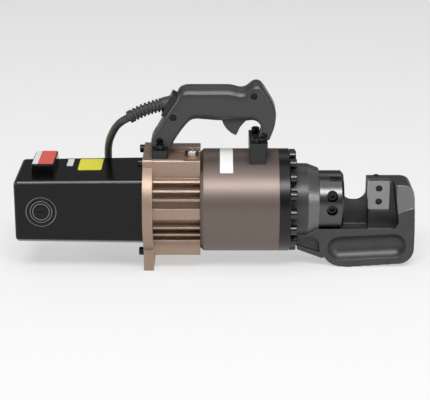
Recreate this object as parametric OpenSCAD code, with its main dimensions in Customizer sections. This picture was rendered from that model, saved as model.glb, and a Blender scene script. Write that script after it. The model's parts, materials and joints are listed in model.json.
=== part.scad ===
// Hand-held electric rebar cutter: a motor drives a small plunger pump, and its oil pushes a
// piston that closes one cutting block against another in a forged, open-sided head.
// X runs from the motor's end to the head's nose, Z is up, and the origin is on the resting
// surface under the middle of the tool. Most modules draw about the tool's own axis.

/* [Stance] */
// Height of the tool's axis above the surface it rests on
axis_h = 80; // [76:1:90]

/* [Motor housing] */
// Length of the motor housing, from its end to the flange
motor_len = 154.5; // [150:0.5:180]
// Width of the housing at the flange
motor_w = 100; // [98:1:106]
// Height of the housing at the flange
motor_h = 80; // [79:1:84]
// How much narrower and lower the housing is at its far end
motor_draft = 3.4; // [0:0.2:5]
// Radius of the housing's long edges
motor_corner = 4.5; // [3:0.5:8]
// Radius of the rounding round the end of the housing
motor_end_round = 5; // [3:0.5:6]
// Width of the clear space inside the housing
motor_room_w = 88; // [84:1:89]
// Height of the clear space inside the housing
motor_room_h = 66; // [62:1:68]
// Thickness of the housing's end wall
motor_end_wall = 6; // [5:0.5:8]
// Length of the raised box on top of the housing
top_box_len = 27.5; // [20:0.5:34]
// Width of the raised box
top_box_w = 58; // [50:1:60]
// How far the raised box sits behind the housing's middle
top_box_shift = 16; // [12:1:16]
// Height of the raised box above the housing
top_box_h = 10.6; // [8:0.2:16]
// Distance from the end of the housing to the raised box
top_box_from_end = 18; // [16:0.5:24]
// Distance from the end of the housing to the brushes
brush_from_end = 32.4; // [30:0.1:34]
// Radius of a brush cap
brush_cap_r = 13.5; // [12:0.5:14]

/* [Motor] */
// Outer radius of the stator
stator_r = 35; // [34:0.1:35.2]
// Length of the stator's steel stack
stator_len = 58; // [50:1:62]
// Radius of the armature's steel stack
armature_r = 20; // [18:0.5:20.4]
// Air gap between armature and stator
air_gap = 0.7; // [0.4:0.1:1.2]
// Radius of the commutator
commutator_r = 14; // [12:0.5:16]
// Radius of the cooling fan
fan_r = 33; // [28:0.5:34]
// Number of fan blades
fan_blades = 9; // [7:1:12]

/* [Flange and pump housing] */
// Thickness of the flange
flange_t = 12; // [10:0.5:16]
// Radius of the flange's disc
flange_r = 65.5; // [64:0.5:70]
// Half the width of the flange's foot
foot_half = 40; // [36:1:44]
// Length of the finned housing in front of the flange
pump_len = 57; // [57:0.5:70]
// Radius of the casting between its fins
core_r = 49; // [47:0.5:50]
// Radius at the tips of the fins
fin_r = 60; // [56:0.5:62]
// Thickness of a fin
fin_t = 2.5; // [1.5:0.25:4]
// Distance between neighbouring fins
fin_pitch = 10; // [9:0.5:10.5]
// Height of the wide side rib
side_rib_h = 13.6; // [10:0.2:18]
// Height of the top rails above the axis
rail_top = 62; // [60:0.5:64]
// Half the width over the two rails
rail_half = 38; // [36:0.5:40]
// Half the width of the trough between the rails
trough_half = 15; // [12:0.5:17]
// Radius of the chamber inside the pump housing
chamber_r = 42; // [41.5:0.1:43]

/* [Gears and pump] */
// Module of the gear teeth
gear_module = 1; // [1:0.01:1.02]
// Teeth on the armature's pinion
pinion_teeth = 11; // [11:1:11]
// Teeth on the driven gear
wheel_teeth = 31; // [31:1:31]
// Pressure angle of the teeth
pressure_angle = 25; // [25:1:25]
// Play between the teeth, measured along the pitch circle
gear_backlash = 0.16; // [0.12:0.02:0.24]
// Width of the driven gear
wheel_w = 10; // [8:0.5:10.5]
// Throw of the eccentric
eccentric_throw = 3; // [2:0.25:3.5]
// Radius of the pump plunger
plunger_r = 4; // [3:0.25:4.5]

/* [Cylinder and piston] */
// Thickness of the cylinder's wall
cyl_wall = 18; // [17:0.5:21]
// Bevel at the cylinder's end, beside the pump housing
cyl_edge = 4; // [2:0.5:5]
// Length of the cylinder
cyl_len = 95; // [95:0.5:110]
// Thickness of the cylinder's end wall
cyl_end_wall = 12; // [10:0.5:13]
// Radius of the cylinder's bore
bore_r = 45; // [44:0.5:46]
// Room for the return spring between rod and bore
spring_room = 9; // [8.5:0.1:10]
// How far the piston travels
stroke = 30; // [28:0.5:30]
// Length of the piston's head
piston_head_len = 20; // [18:0.5:21]
// Thickness of the return spring's wire
spring_wire = 4.4; // [4:0.1:4.6]
// Turns of the return spring
spring_turns = 3.8; // [3:0.1:4]

/* [Front ring] */
// Thickness of the black front ring
ring_t = 13.5; // [12:0.5:16]
// Number of screws round the ring
ring_screws = 16; // [12:1:18]
// Distance from the ring's outside to the circle that the screws stand on
ring_screw_inset = 7; // [6.8:0.1:7.4]

/* [Cutter head] */
// Distance from the ring to the nose of the head
head_reach = 154; // [152:0.5:165]
// Thickness of the hub's wall round the piston
hub_wall = 8.7; // [8:0.1:9.4]
// Thickness of that wall at the hub's face
hub_face_wall = 3.3; // [2.5:0.1:5]
// Length of the hub in front of the ring
hub_len = 36; // [34:0.5:37]
// Half the thickness of the head's forging
head_half = 24; // [22:0.5:26]
// Height of the head's arm above the axis
arm_top = 24; // [22:0.5:26]
// Gap between the piston and the trough under it
trough_gap = 2.5; // [1.5:0.25:4]
// Opening between the two blocks
throat = 29.2; // [28.8:0.1:31]
// Height of the bottom of the throat, below the axis
throat_floor = 7; // [4:0.5:9]

/* [Cutting blocks] */
// Length of the fixed block along the tool
block_l = 26; // [24:0.5:28]
// Length of the moving block along the tool
moving_block_l = 32; // [30:0.5:33]
// Thickness of both blocks
block_t = 12.5; // [11:0.5:13]
// Height of both blocks
block_h = 36; // [34:0.5:38]
// Height of the moving block's centre above the axis
moving_block_z = 5.7; // [4:0.1:7]
// Height of the fixed block's centre above the axis
fixed_block_z = 9.6; // [8:0.1:11]
// Half the distance between a block's two screws
block_screw_half = 8.4; // [8:0.1:9]

/* [Handle] */
// Half the thickness of the handle
handle_half = 17; // [15:0.5:19]
// Rounding of the edges of the handle's two legs
leg_round = 5; // [3:0.5:6]
// Rounding of the grip's edges
grip_round = 13; // [10:0.5:14]
// Half the thickness of the trigger
trigger_half = 7; // [6:0.5:8]
// Radius of the trigger's rear face about its pivot
trigger_r = 29.6; // [29:0.1:29.8]
// Half the width of the front saddle
saddle_half = 31.5; // [30:0.5:34]
// Thickness of the rear foot's plate
rear_foot_t = 9.5; // [8:0.5:11]

/* [Cord] */
// Diameter of the mains cord
cord_d = 9.4; // [8.4:0.1:9.4]
// Turns in the coil
coil_turns = 4.5; // [4.5:1:4.5]
// Radius of the coil at the middle of its turns
coil_mid_r = 54; // [52:1:56]

/* [Hidden] */
$fn = 64;

// Clearances that the fits share
fit = 0.05;
seat = 0.1;
loose = 0.3;
tiny = 0.01;

// Radii that follow from the bore and the walls
cyl_r = bore_r + cyl_wall;
rod_r = bore_r - spring_room;
hub_r = rod_r + hub_wall;
hub_face_r = rod_r + hub_face_wall;
collar_r = hub_r + 5.3;
trough_r = rod_r + trough_gap;
ring_screw_circle = cyl_r - ring_screw_inset;

// Stations along X, worked out from the lengths so that the tool stays centred
whole_len = motor_len + flange_t + pump_len + cyl_len + ring_t + head_reach;
end_x = -whole_len / 2;
flange_x = end_x + motor_len;
pump_x = flange_x + flange_t;
cyl_x = pump_x + pump_len;
ring_x = cyl_x + cyl_len;
head_x = ring_x + ring_t;
nose_x = head_x + head_reach;

// Motor stations
motor_h_end = motor_h - motor_draft;
motor_w_end = motor_w - motor_draft;
brush_x = end_x + brush_from_end;
wall_y_at_brush = (motor_w_end + (motor_w - motor_w_end) * brush_from_end / motor_len) / 2;
stator_x = flange_x - 40.5 - stator_len;
coil_end_l = 9;
fan_x = flange_x - 27.5;
fan_l = 12;
small_bearing_r = 11;
small_bearing_w = 7;
small_bore_r = 4;
front_bearing_r = 13;
front_bearing_w = 8;
front_bore_r = 5;
end_boss_r = 15;
end_bearing_x = end_x + motor_end_wall + 6;

// Screws of the flange and the filler plug's place
flange_screw_y = 30.3;
flange_screw_z = min(56.4, rail_top - 5.6);
oil_plug_x = cyl_x - 10.2;
oil_plug_y = -12;
plug_seat_r = 9.4;
plug_seat_z = rail_top - 1.5;
plug_thread_r = 5.5;

// Gear and pump stations
pinion_pitch_r = gear_module * pinion_teeth / 2;
wheel_pitch_r = gear_module * wheel_teeth / 2;
gear_centres = pinion_pitch_r + wheel_pitch_r;
web_x = pump_x + small_bearing_w;
wheel_x = web_x + 1.5;
ecc_x = wheel_x + wheel_w + 2;
ecc_w = 12;
block_x = ecc_x + ecc_w + 2;
front_journal_x = block_x + small_bearing_w;
ecc_bearing_r = 14;
ecc_bore_r = 9;
ecc_top = -gear_centres + eccentric_throw + ecc_bearing_r;
bridge_half = 13;
bridge_top = 34;
valve_z = 24;

// Piston stations at rest
piston_x = cyl_x + cyl_end_wall + 0.5;
piston_front = piston_x + piston_head_len;
spigot_x = ring_x - 13.5;
spring_r = (bore_r + rod_r) / 2;
blocks_mid_x = head_x + 82;
moving_face_x = blocks_mid_x - throat / 2;
fixed_face_x = blocks_mid_x + throat / 2;
rod_nose_x = fixed_face_x - stroke - 0.5;
hub_face_x = head_x + hub_len;
flat_x = hub_face_x - stroke - 1;
flat_y = block_t + 0.7;
wall_y = flat_y + 0.4;
shear_gap = 0.3;
pocket_x = moving_face_x + stroke + 1.1;
pocket_end_x = fixed_face_x + block_l + 8.5;
shelf_t = 3.5;
shelf_end_x = fixed_face_x + block_l + 1;
ledge_z = fixed_block_z - block_h / 2 - seat;
pocket_slant = 6.7;
groove_r = 17.5;
groove_out = 8.5;

// Screw sizes: radius of the thread, radius and height of the cap head, and the hexagon in it
m8 = [4, 6.5, 8, 3.45];
m6 = [3, 5, 6, 2.9];
m5 = [2.5, 3.6, 3.6, 1.7];

// Handle: stations from the rear foot to the front saddle, chosen by hand from the photograph.
// Each is [x, z] on the upper edge, then [x, z] on the lower edge, about the tool's axis. The fifth
// number says how much of the grip's rounding the station has: 0 in the legs and 1 in the grip
foot_x = -67.7;
saddle_x = 50;
saddle_top = 80;
saddle_tongue_x = saddle_x + 4;
foot_top = rail_top + rear_foot_t;
handle_stations = [
  [-79, foot_top + 0.1, -53.5, foot_top + 0.1, 0], [-78.5, 80, -51.5, 77.4, 0], [-75, 87, -47.5, 84, 0],
  [-68, 98.5, -43.5, 90, 0], [-62, 108.5, -40, 94.6, 0.1], [-55, 120, -36, 99, 0.25],
  [-49, 130, -33, 101.7, 0.45], [-46.5, 137, -30.5, 103.2, 0.65], [-43, 141.6, -27.5, 104.1, 0.8],
  [-36, 144.4, -25, 104.3, 0.9], [-24, 144.8, -21, 104.1, 1], [-12, 144.8, -12, 103.4, 1],
  [2, 144.8, 0, 102.4, 1], [13, 144.8, 12, 101.9, 1], [20, 144, 20, 101.8, 1], [26, 142.2, 26, 101.9, 1],
  [31.5, 141.8, 31, 101.9, 0.95], [36.5, 143.4, 35, 102, 0.85], [41, 147, 38.5, 102.6, 0.7],
  [44.5, 149.1, 41, 103.2, 0.6], [48, 149.6, 43.5, 103.4, 0.5], [52, 148.4, 46, 103.2, 0.35],
  [55.5, 144.9, 48.5, 102.4, 0.2], [58.5, 140.5, 50, 101.5, 0.1], [64, 131.5, 51.5, 100, 0],
  [68.5, 123.8, 52.8, 98.2, 0], [71, 117, 53.5, 96, 0], [71.8, 110.5, 54, 93.5, 0],
  [71.2, 102, 53.8, 90.5, 0], [69.6, 94, 53.2, 87.5, 0], [67, 87, 52, 84, 0],
  [64.5, saddle_top + 0.1, 50.5, saddle_top + 0.1, 0]];
handle_bolt_holes = [[-51.8, 108], [44.8, 134.4], [-68.2, 78.6], [57, 84.8]];
trigger_pivot = [35, 111];
boot_axis_tilt = 14.5;
boot_exit = [-60.6, 121.7];
boot_route = [[-52, 124], [-60.6, 121.7], [-70, 119.3], [-81.4, 116], [-93, 111.2], [-103.04, 105.86]];
boot_r = 8.4;
boot_ribs = 10;

// Cord: hand-chosen points as [x, y, z] about the tool's axis, from the boot to the coil
cord_r = cord_d / 2;
cord_floor = cord_r - axis_h;
coil_pitch = cord_d + 0.6;
coil_in_r = coil_mid_r - coil_pitch * coil_turns / 4;
coil_out_r = coil_mid_r + coil_pitch * coil_turns / 4;
coil_centre = [-68, 142];
coil_x = coil_centre[0] - coil_out_r;
lead_points = [[-104.8, 0, 104.9], [-109.2, 0, 102.5], [-113.6, 1, 99.7], [-118.5, 5, 95], [-123.5, 12.5, 87.5],
  [-128, 22, 78], [-131.8, 32, 67.5], [-134.3, 42, 56.5], [-135.6, 51, 45], [-136, 57.5, 32], [-135.6, 61, 17],
  [-134.8, 62.5, 0], [-134, 64, -18], [-133.6, 67, -34], [-133.4, 73, -50], [-133.3, 82, -62.5],
  [coil_x, 95, -71], [coil_x, 110, -75], [coil_x, 122, cord_floor]];
// The coil's centre line: it spirals in, climbs one layer at the middle turn, and spirals out
function coil_point(t) = let (
    half = coil_turns / 2,
    climb = min(max((t - half + 0.25) / 0.5, 0), 1),
    r = coil_in_r + coil_pitch * abs(t - half),
    a = 180 - 360 * t)
  [coil_centre[0] + r * cos(a), coil_centre[1] + r * sin(a),
    cord_floor + coil_pitch * (climb * climb * (3 - 2 * climb))];
coil_steps = 24;
coil_path = [for (i = [0 : coil_turns * coil_steps]) coil_point(i / coil_steps)];
coil_start = coil_path[0];
coil_end = coil_path[len(coil_path) - 1];

// Least distance between two stretches of the coil that lie at least half a turn apart
coil_gap = min([for (i = [0 : 2 : len(coil_path) - 1]) for (j = [i + coil_steps / 2 : 1 : len(coil_path) - 1])
  norm(coil_path[i] - coil_path[j])]) - cord_d;
plug_l = 38;
plug_w = 34;
plug_h = 26;
plug_y = 104;

function unit(v) = v / norm(v);
function polar(r, a) = [r * cos(a), r * sin(a)];
function joined(lists) = [for (l = lists) for (p = l) p];

// One point of a smooth curve between p1 and p2, with their neighbours p0 and p3
function curve_point(p0, p1, p2, p3, t) =
  0.5 * ((2 * p1) + (p2 - p0) * t + (2 * p0 - 5 * p1 + 4 * p2 - p3) * t * t
  + (3 * p1 - p0 - 3 * p2 + p3) * t * t * t);

// A smooth open curve through the points, with the given steps between neighbours
function smooth(points, steps) = let (last = len(points) - 1) concat(
  [for (i = [0 : last - 1]) for (s = [0 : steps - 1])
    curve_point(points[max(i - 1, 0)], points[i], points[i + 1], points[min(i + 2, last)], s / steps)],
  [points[last]]);

// Tangents and steady normals along a path of 3D points
function path_tangent(path, i) = unit(path[min(i + 1, len(path) - 1)] - path[max(i - 1, 0)]);
function carried(n, t) = unit(n - (n * t) * t);
function path_normals(path, first) = [for (i = 0, n = carried(first, path_tangent(path, 0)); i < len(path);
  n = carried(n, path_tangent(path, min(i + 1, len(path) - 1))), i = i + 1) n];

// Draws about the tool's axis instead of the resting surface
module at_axis() {
  translate([0, 0, axis_h]) children();
}

// A straight round bar along X
module bar_x(r, x0, x1) {
  translate([x0, 0, 0]) rotate([0, 90, 0]) cylinder(r = r, h = x1 - x0);
}

// A round bar along X that widens or narrows
module cone_x(r0, r1, x0, x1) {
  translate([x0, 0, 0]) rotate([0, 90, 0]) cylinder(r1 = r0, r2 = r1, h = x1 - x0);
}

// A ring along X
module ring_along_x(r_out, r_in, x0, x1) {
  difference() {
    bar_x(r_out, x0, x1);
    bar_x(r_in, x0 - 1, x1 + 1);
  }
}

// A round bar along Y
module bar_y(r, x, z, y0, y1) {
  translate([x, y1, z]) rotate([90, 0, 0]) cylinder(r = r, h = y1 - y0);
}

// A round bar along Z
module bar_z(r, x, y, z0, z1) {
  translate([x, y, z0]) cylinder(r = r, h = z1 - z0);
}

// A block between two corners
module block(low, high) {
  translate(low) cube(high - low);
}

// A flat outline in Y and Z, given thickness along X
module section_x(x0, x1) {
  translate([x0, 0, 0]) rotate([90, 0, 90]) linear_extrude(x1 - x0) children();
}

// A flat outline in X and Z, given thickness along Y
module plate_y(y0, y1) {
  translate([0, y1, 0]) rotate([90, 0, 0]) linear_extrude(y1 - y0) children();
}

// A rectangle with round corners, centred
module round_rect(w, h, r) {
  square([w - 2 * r, h], center = true);
  square([w, h - 2 * r], center = true);
  for (x = [-1, 1], y = [-1, 1]) translate([x * (w / 2 - r), y * (h / 2 - r)]) circle(r, $fn = 32);
}

// A rectangle with round corners between two corner points
module round_box(low, high, r) {
  translate((low + high) / 2) round_rect(high[0] - low[0], high[1] - low[1], r);
}

// A closed skin over rings of points; the rings turn right-handed about their direction
module skin(rings) {
  n = len(rings[0]);
  last = len(rings) - 1;
  sides = [for (k = [0 : last - 1]) for (i = [0 : n - 1])
    let (a = k * n + i, b = k * n + (i + 1) % n) each [[a, a + n, b + n], [a, b + n, b]]];
  caps = [[for (i = [0 : n - 1]) i], [for (i = [n - 1 : -1 : 0]) last * n + i]];
  polyhedron(points = joined(rings), faces = concat(caps, sides), convexity = 6);
}

// A round tube swept along a path, with its own radius at each point
module swept(path, radii, sides, first) {
  normals = path_normals(path, first);
  skin([for (i = [0 : len(path) - 1]) let (t = path_tangent(path, i), u = normals[i], v = cross(t, u))
    [for (s = [0 : sides - 1]) path[i] + radii[i] * (cos(360 * s / sides) * u + sin(360 * s / sides) * v)]]);
}

// A socket-head cap screw along X from the underside of its head; the head is on the + side
module cap_screw(size, length) {
  difference() {
    union() {
      cylinder(r = size[1], h = size[2] - 0.8);
      translate([0, 0, size[2] - 0.8]) cylinder(r1 = size[1], r2 = size[1] - 0.8, h = 0.8);
      translate([0, 0, -length]) cylinder(r = size[0], h = length + tiny);
    }
    translate([0, 0, size[2] * 0.45]) cylinder(r = size[3], h = size[2], $fn = 6);
  }
}

// A coil spring along Z from the origin, one unbroken tube with flat-lying ends
function spring_path(r, height, turns, steps) = [for (i = [0 : ceil(turns * steps)])
  let (t = min(i / steps, turns)) [r * cos(360 * t), r * sin(360 * t), height * t / turns]];
module coil_spring(r, wire, height, turns, steps, sides) {
  path = spring_path(r, height - wire - 0.2, turns, steps);
  translate([0, 0, wire / 2 + 0.1]) swept(path, [for (p = path) wire / 2], sides, [0, 0, 1]);
}

// A ball bearing along X: two rings and the shields between them, as one closed ring
module bearing(r_out, r_in, x0, w) {
  lip = (r_out - r_in) * 0.24;
  difference() {
    ring_along_x(r_out - seat, r_in + fit, x0, x0 + w);
    for (x = [x0 - 1, x0 + w - 0.6]) ring_along_x(r_out - lip, r_in + lip, x, x + 1.6);
  }
}

// The half angle of an involute tooth at one radius
function inv_deg(a) = tan(a) * 180 / PI - a;
function tooth_half_angle(teeth, pitch_r, r) = let (base = pitch_r * cos(pressure_angle), rr = max(r, base))
  90 / teeth - gear_backlash / 4 / pitch_r * 180 / PI + inv_deg(pressure_angle) - inv_deg(acos(base / rr));

// The outline of an involute gear, with its first tooth centred on the angle given
module gear_outline(teeth, tip, root, first) {
  pitch_r = gear_module * teeth / 2;
  base = pitch_r * cos(pressure_angle);
  low = max(base, pitch_r - root);
  high = pitch_r + tip;
  radii = concat([pitch_r - root], [for (k = [0 : 6]) low + (high - low) * k / 6]);
  polygon([for (i = [0 : teeth - 1]) let (a = first + 360 * i / teeth) each concat(
    [for (k = [0 : 7]) polar(radii[k], a - tooth_half_angle(teeth, pitch_r, radii[k]))],
    [for (k = [7 : -1 : 0]) polar(radii[k], a + tooth_half_angle(teeth, pitch_r, radii[k]))])]);
}

// Motor

// One station of the housing's outside, as a ring of points in Y and Z
function housing_ring(x, w, h, r) = [for (c = [[1, 1, 0], [-1, 1, 90], [-1, -1, 180], [1, -1, 270]])
  for (k = [0 : 5]) let (a = c[2] + 18 * k)
    [x, c[0] * (w / 2 - r) + r * cos(a), c[1] * (h / 2 - r) + r * sin(a)]];

module housing_outside() {
  round_steps = [for (a = [0 : 22.5 : 90]) a];
  skin(concat(
    [for (a = round_steps) let (inset = motor_end_round * (1 - sin(a)))
      housing_ring(end_x + motor_end_round * (1 - cos(a)), motor_w_end - 2 * inset,
        motor_h_end - 2 * inset, motor_corner * (1 - 0.6 * inset / motor_end_round))],
    [housing_ring(flange_x, motor_w, motor_h, motor_corner)]));
}

module motor_housing() {
  boss_tip = commutator_r + 10;
  color([0.08, 0.08, 0.09]) at_axis() difference() {
    union() {
      difference() {
        housing_outside();
        section_x(end_x + motor_end_wall, flange_x + 1) round_rect(motor_room_w, motor_room_h, 6);
        bar_x(stator_r + loose, stator_x - seat, flange_x + 1);
      }
      bar_x(end_boss_r, end_x + motor_end_wall - 1, end_bearing_x + small_bearing_w);
      // Each brush boss widens behind its cap's recess, where it joins the wall
      for (side = [-1, 1]) scale([1, side, 1]) {
        bar_y(12, brush_x, 0, boss_tip, wall_y_at_brush - 3);
        bar_y(brush_cap_r + 2, brush_x, 0, wall_y_at_brush - 8, wall_y_at_brush - 3);
      }
    }
    bar_x(small_bearing_r, end_bearing_x, end_bearing_x + small_bearing_w + 1);
    bar_x(small_bore_r + 2, end_x + motor_end_wall - 1, end_bearing_x + 1);
    for (side = [-1, 1]) scale([1, side, 1]) {
      bar_y(9.3, brush_x, 0, boss_tip - 1, wall_y_at_brush);
      bar_y(brush_cap_r + seat, brush_x, 0, wall_y_at_brush - 5, wall_y_at_brush + 1);
      difference() {
        bar_y(brush_cap_r + 4.5, brush_x, 0, wall_y_at_brush - 0.8, wall_y_at_brush + 1);
        bar_y(brush_cap_r + 1.5, brush_x, 0, wall_y_at_brush - 2, wall_y_at_brush + 2);
      }
      for (z = [-24 : 8 : 24])
        block([end_x - 1, 19, z - 1.6], [end_x + motor_end_wall + 1, 37, z + 1.6]);
    }
    for (y = [-24 : 8 : 24])
      block([fan_x + 1, y - 1.8, -motor_h], [fan_x + fan_l + 8, y + 1.8, -stator_r + 3]);
  }
}

module top_box() {
  x0 = end_x + top_box_from_end;
  roof = motor_h / 2 - motor_draft / 2;
  lift = roof + motor_draft / 2 * top_box_from_end / motor_len;
  y0 = top_box_shift - top_box_w / 2;
  y1 = top_box_shift + top_box_w / 2;
  color([0.08, 0.08, 0.09]) at_axis() difference() {
    union() {
      translate([0, 0, lift]) linear_extrude(top_box_h - 1)
        round_box([x0, y0], [x0 + top_box_len, y1], 1.5);
      translate([0, 0, lift + top_box_h - 1]) linear_extrude(1)
        round_box([x0 + 0.8, y0 + 0.8], [x0 + top_box_len - 0.8, y1 - 0.8], 1.2);
    }
    housing_outside();
    translate([0, 0, lift + 1.5]) linear_extrude(top_box_h - 4)
      round_box([x0 + 2.5, y0 + 2.5], [x0 + top_box_len - 2.5, y1 - 2.5], 1);
  }
}

module brush_caps() {
  color([0.1, 0.1, 0.11]) at_axis() for (side = [-1, 1]) scale([1, side, 1]) difference() {
    union() {
      bar_y(brush_cap_r, brush_x, 0, wall_y_at_brush - 4.8, wall_y_at_brush - 0.6);
      bar_y(8.6, brush_x, 0, wall_y_at_brush - 9, wall_y_at_brush - 4);
    }
    difference() {
      bar_y(9.3, brush_x, 0, wall_y_at_brush - 1.8, wall_y_at_brush + 1);
      bar_y(7.6, brush_x, 0, wall_y_at_brush - 3, wall_y_at_brush + 2);
    }
    block([brush_x - 5.5, wall_y_at_brush - 2.4, -1], [brush_x + 5.5, wall_y_at_brush, 1]);
  }
}

module brush_holders() {
  color("goldenrod") at_axis() for (side = [-1, 1]) scale([1, side, 1]) difference() {
    bar_y(9, brush_x, 0, commutator_r + 5, 38);
    block([brush_x - 4.1, 0, -6.1], [brush_x + 4.1, 40, 6.1]);
  }
}

module carbon_brushes() {
  color([0.2, 0.2, 0.2]) at_axis() for (side = [-1, 1]) scale([1, side, 1])
    block([brush_x - 4, commutator_r + loose, -6], [brush_x + 4, 31, 6]);
}

module brush_springs() {
  color("silver") at_axis() for (side = [0, 180]) rotate([side, 0, 0])
    translate([brush_x, 31.1, 0]) rotate([-90, 0, 0]) coil_spring(3.2, 0.9, 7.8, 4, 8, 6);
}

module rear_bearing() {
  color("silver") at_axis() bearing(small_bearing_r, small_bore_r, end_bearing_x, small_bearing_w);
}

module front_bearing() {
  color("silver") at_axis() bearing(front_bearing_r, front_bore_r, flange_x + 0.2, front_bearing_w);
}

module stator_core() {
  gap_r = armature_r + air_gap;
  color([0.5, 0.5, 0.52]) at_axis() difference() {
    ring_along_x(stator_r, gap_r, stator_x, stator_x + stator_len);
    for (side = [-1, 1], z = [-17, 17]) translate([stator_x - 1, side * 16, z]) rotate([0, 90, 0])
      cylinder(r = 6, h = stator_len + 2);
  }
}

module stator_coils() {
  gap_r = armature_r + air_gap;
  color([0.72, 0.38, 0.16]) at_axis() for (end = [0, 1]) difference() {
    x0 = end == 0 ? stator_x - coil_end_l : stator_x + stator_len;
    ring_along_x(31, gap_r + 1.5, x0, x0 + coil_end_l);
    for (z = [-1, 1]) block([x0 - 1, -11, z > 0 ? 0 : -40], [x0 + coil_end_l + 1, 11, z > 0 ? 40 : 0]);
    block([x0 - 1, -40, -4], [x0 + coil_end_l + 1, 40, 4]);
  }
}

module armature_shaft() {
  tip_x = wheel_x + wheel_w + 0.5;
  color([0.7, 0.7, 0.72]) at_axis() {
    bar_x(small_bore_r, end_bearing_x - 1, brush_x - 11);
    bar_x(6, brush_x - 11, fan_x + fan_l + 1);
    bar_x(front_bore_r, fan_x + fan_l, flange_x + front_bearing_w + 1);
    bar_x(pinion_pitch_r - 1.25 * gear_module, flange_x + front_bearing_w, wheel_x);
    section_x(wheel_x - 1, tip_x) gear_outline(pinion_teeth, gear_module, 1.25 * gear_module, -90);
  }
}

module armature_core() {
  slots = 12;
  color([0.45, 0.45, 0.47]) at_axis() difference() {
    ring_along_x(armature_r, 6, stator_x - 1, stator_x + stator_len + 1);
    for (i = [0 : slots - 1]) rotate([360 * i / slots, 0, 0])
      block([stator_x - 2, -1.2, armature_r - 5], [stator_x + stator_len + 2, 1.2, armature_r + 1]);
  }
}

module armature_windings() {
  color([0.75, 0.4, 0.15]) at_axis() for (x = [stator_x - 1 - 8, stator_x + stator_len + 1])
    difference() {
      union() {
        ring_along_x(armature_r - 3, 6, x, x + 8);
        ring_along_x(armature_r - 1, 6, x + 1.5, x + 6.5);
      }
      bar_x(6, x - 1, x + 9);
    }
}

module commutator() {
  bars = 24;
  color([0.8, 0.5, 0.25]) at_axis() difference() {
    ring_along_x(commutator_r, 6, brush_x - 10, brush_x + 10);
    for (i = [0 : bars - 1]) rotate([360 * i / bars, 0, 0])
      block([brush_x - 11, -0.3, commutator_r - 1], [brush_x + 11, 0.3, commutator_r + 1]);
  }
}

module cooling_fan() {
  color([0.15, 0.15, 0.16]) at_axis() {
    ring_along_x(11, 6, fan_x, fan_x + fan_l);
    ring_along_x(fan_r - 1, 6, fan_x, fan_x + 2);
    for (i = [0 : fan_blades - 1]) rotate([360 * i / fan_blades, 0, 0])
      block([fan_x + 1, -0.9, 10], [fan_x + fan_l - 1, 0.9, fan_r - 1.5]);
  }
}

// Pump

// The flange's outline in Y and Z
module flange_outline() {
  intersection() {
    union() {
      circle(flange_r, $fn = 96);
      for (y = [-flange_screw_y, flange_screw_y], z = [-flange_screw_z, flange_screw_z])
        translate([y, z]) circle(9.5, $fn = 32);
    }
    translate([-flange_r, -flange_r - 10]) square([2 * flange_r, flange_r + 10 + rail_top]);
  }
  round_box([-rail_half - 0.5, 0], [rail_half + 0.5, rail_top], 6);
  round_box([-foot_half, -axis_h], [foot_half, 0], 5);
}

// The finned casting's outline in Y and Z
module fin_outline() {
  circle(core_r);
  intersection() {
    circle(fin_r, $fn = 96);
    union() for (side = [-1, 1], k = [0 : 2])
      translate([0, side * (17.5 + fin_pitch * k)]) square([2 * fin_r, fin_t], center = true);
  }
  intersection() {
    circle(fin_r, $fn = 96);
    square([2 * fin_r - 5, side_rib_h], center = true);
  }
  difference() {
    union() {
      round_box([-rail_half, 30], [rail_half, rail_top], 4);
      round_box([-rail_half, -fin_r], [rail_half, -30], 4);
    }
    translate([-trough_half, rail_top - 5]) square([2 * trough_half, 20]);
    translate([-trough_half, -fin_r - 15]) square([2 * trough_half, 20]);
  }
}

module pump_housing() {
  chamber_x = web_x;
  color([0.55, 0.44, 0.36]) at_axis() difference() {
    union() {
      section_x(flange_x, pump_x) flange_outline();
      section_x(pump_x - tiny, cyl_x) fin_outline();
      bar_z(plug_seat_r, oil_plug_x, oil_plug_y, rail_top - 8, plug_seat_z);
    }
    bar_x(chamber_r, chamber_x, cyl_x + 1);
    bar_x(front_bearing_r, flange_x - 1, flange_x + front_bearing_w + 0.2);
    bar_x(pinion_pitch_r + gear_module + 1, flange_x, chamber_x + 1);
    translate([0, 0, -gear_centres])
      bar_x(small_bearing_r, pump_x, chamber_x + 1);
    bar_z(plug_thread_r + seat, oil_plug_x, oil_plug_y, 0, rail_top);
    bar_z(plug_seat_r, oil_plug_x, oil_plug_y, plug_seat_z, rail_top + 1);
    block([oil_plug_x - plug_seat_r, -rail_half - 1, plug_seat_z], [oil_plug_x + plug_seat_r, oil_plug_y, rail_top + 1]);
    for (y = [-1, 1], z = [-1, 1]) translate([0, y * flange_screw_y, z * flange_screw_z])
      bar_x(m6[0] + seat, flange_x - 1, pump_x + 8);
    for (y = [-1, 1]) bar_z(m6[0] + seat, foot_x, y * 24, rail_top - 14, rail_top + 1);
  }
}

module flange_screws() {
  color([0.16, 0.16, 0.17]) at_axis() for (y = [-1, 1], z = [-1, 1])
    translate([flange_x, y * flange_screw_y, z * flange_screw_z]) rotate([0, -90, 0]) cap_screw(m6, flange_t + 6);
}

module oil_plug() {
  color([0.85, 0.86, 0.88]) at_axis() translate([oil_plug_x, oil_plug_y, plug_seat_z + 1.25]) difference() {
    union() {
      cylinder(r = 8.5, h = 5, $fn = 6);
      translate([0, 0, 4.9]) cylinder(r1 = 7.3, r2 = 6.6, h = 0.8);
      translate([0, 0, -10]) cylinder(r = plug_thread_r, h = 11);
    }
    translate([0, 0, 3]) cylinder(r = 3, h = 4, $fn = 6);
  }
}

module plug_washer() {
  color([0.75, 0.45, 0.25]) at_axis() translate([oil_plug_x, oil_plug_y, plug_seat_z]) difference() {
    cylinder(r = 8.9, h = 1.2);
    translate([0, 0, -1]) cylinder(r = plug_thread_r + seat, h = 4);
  }
}

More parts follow.
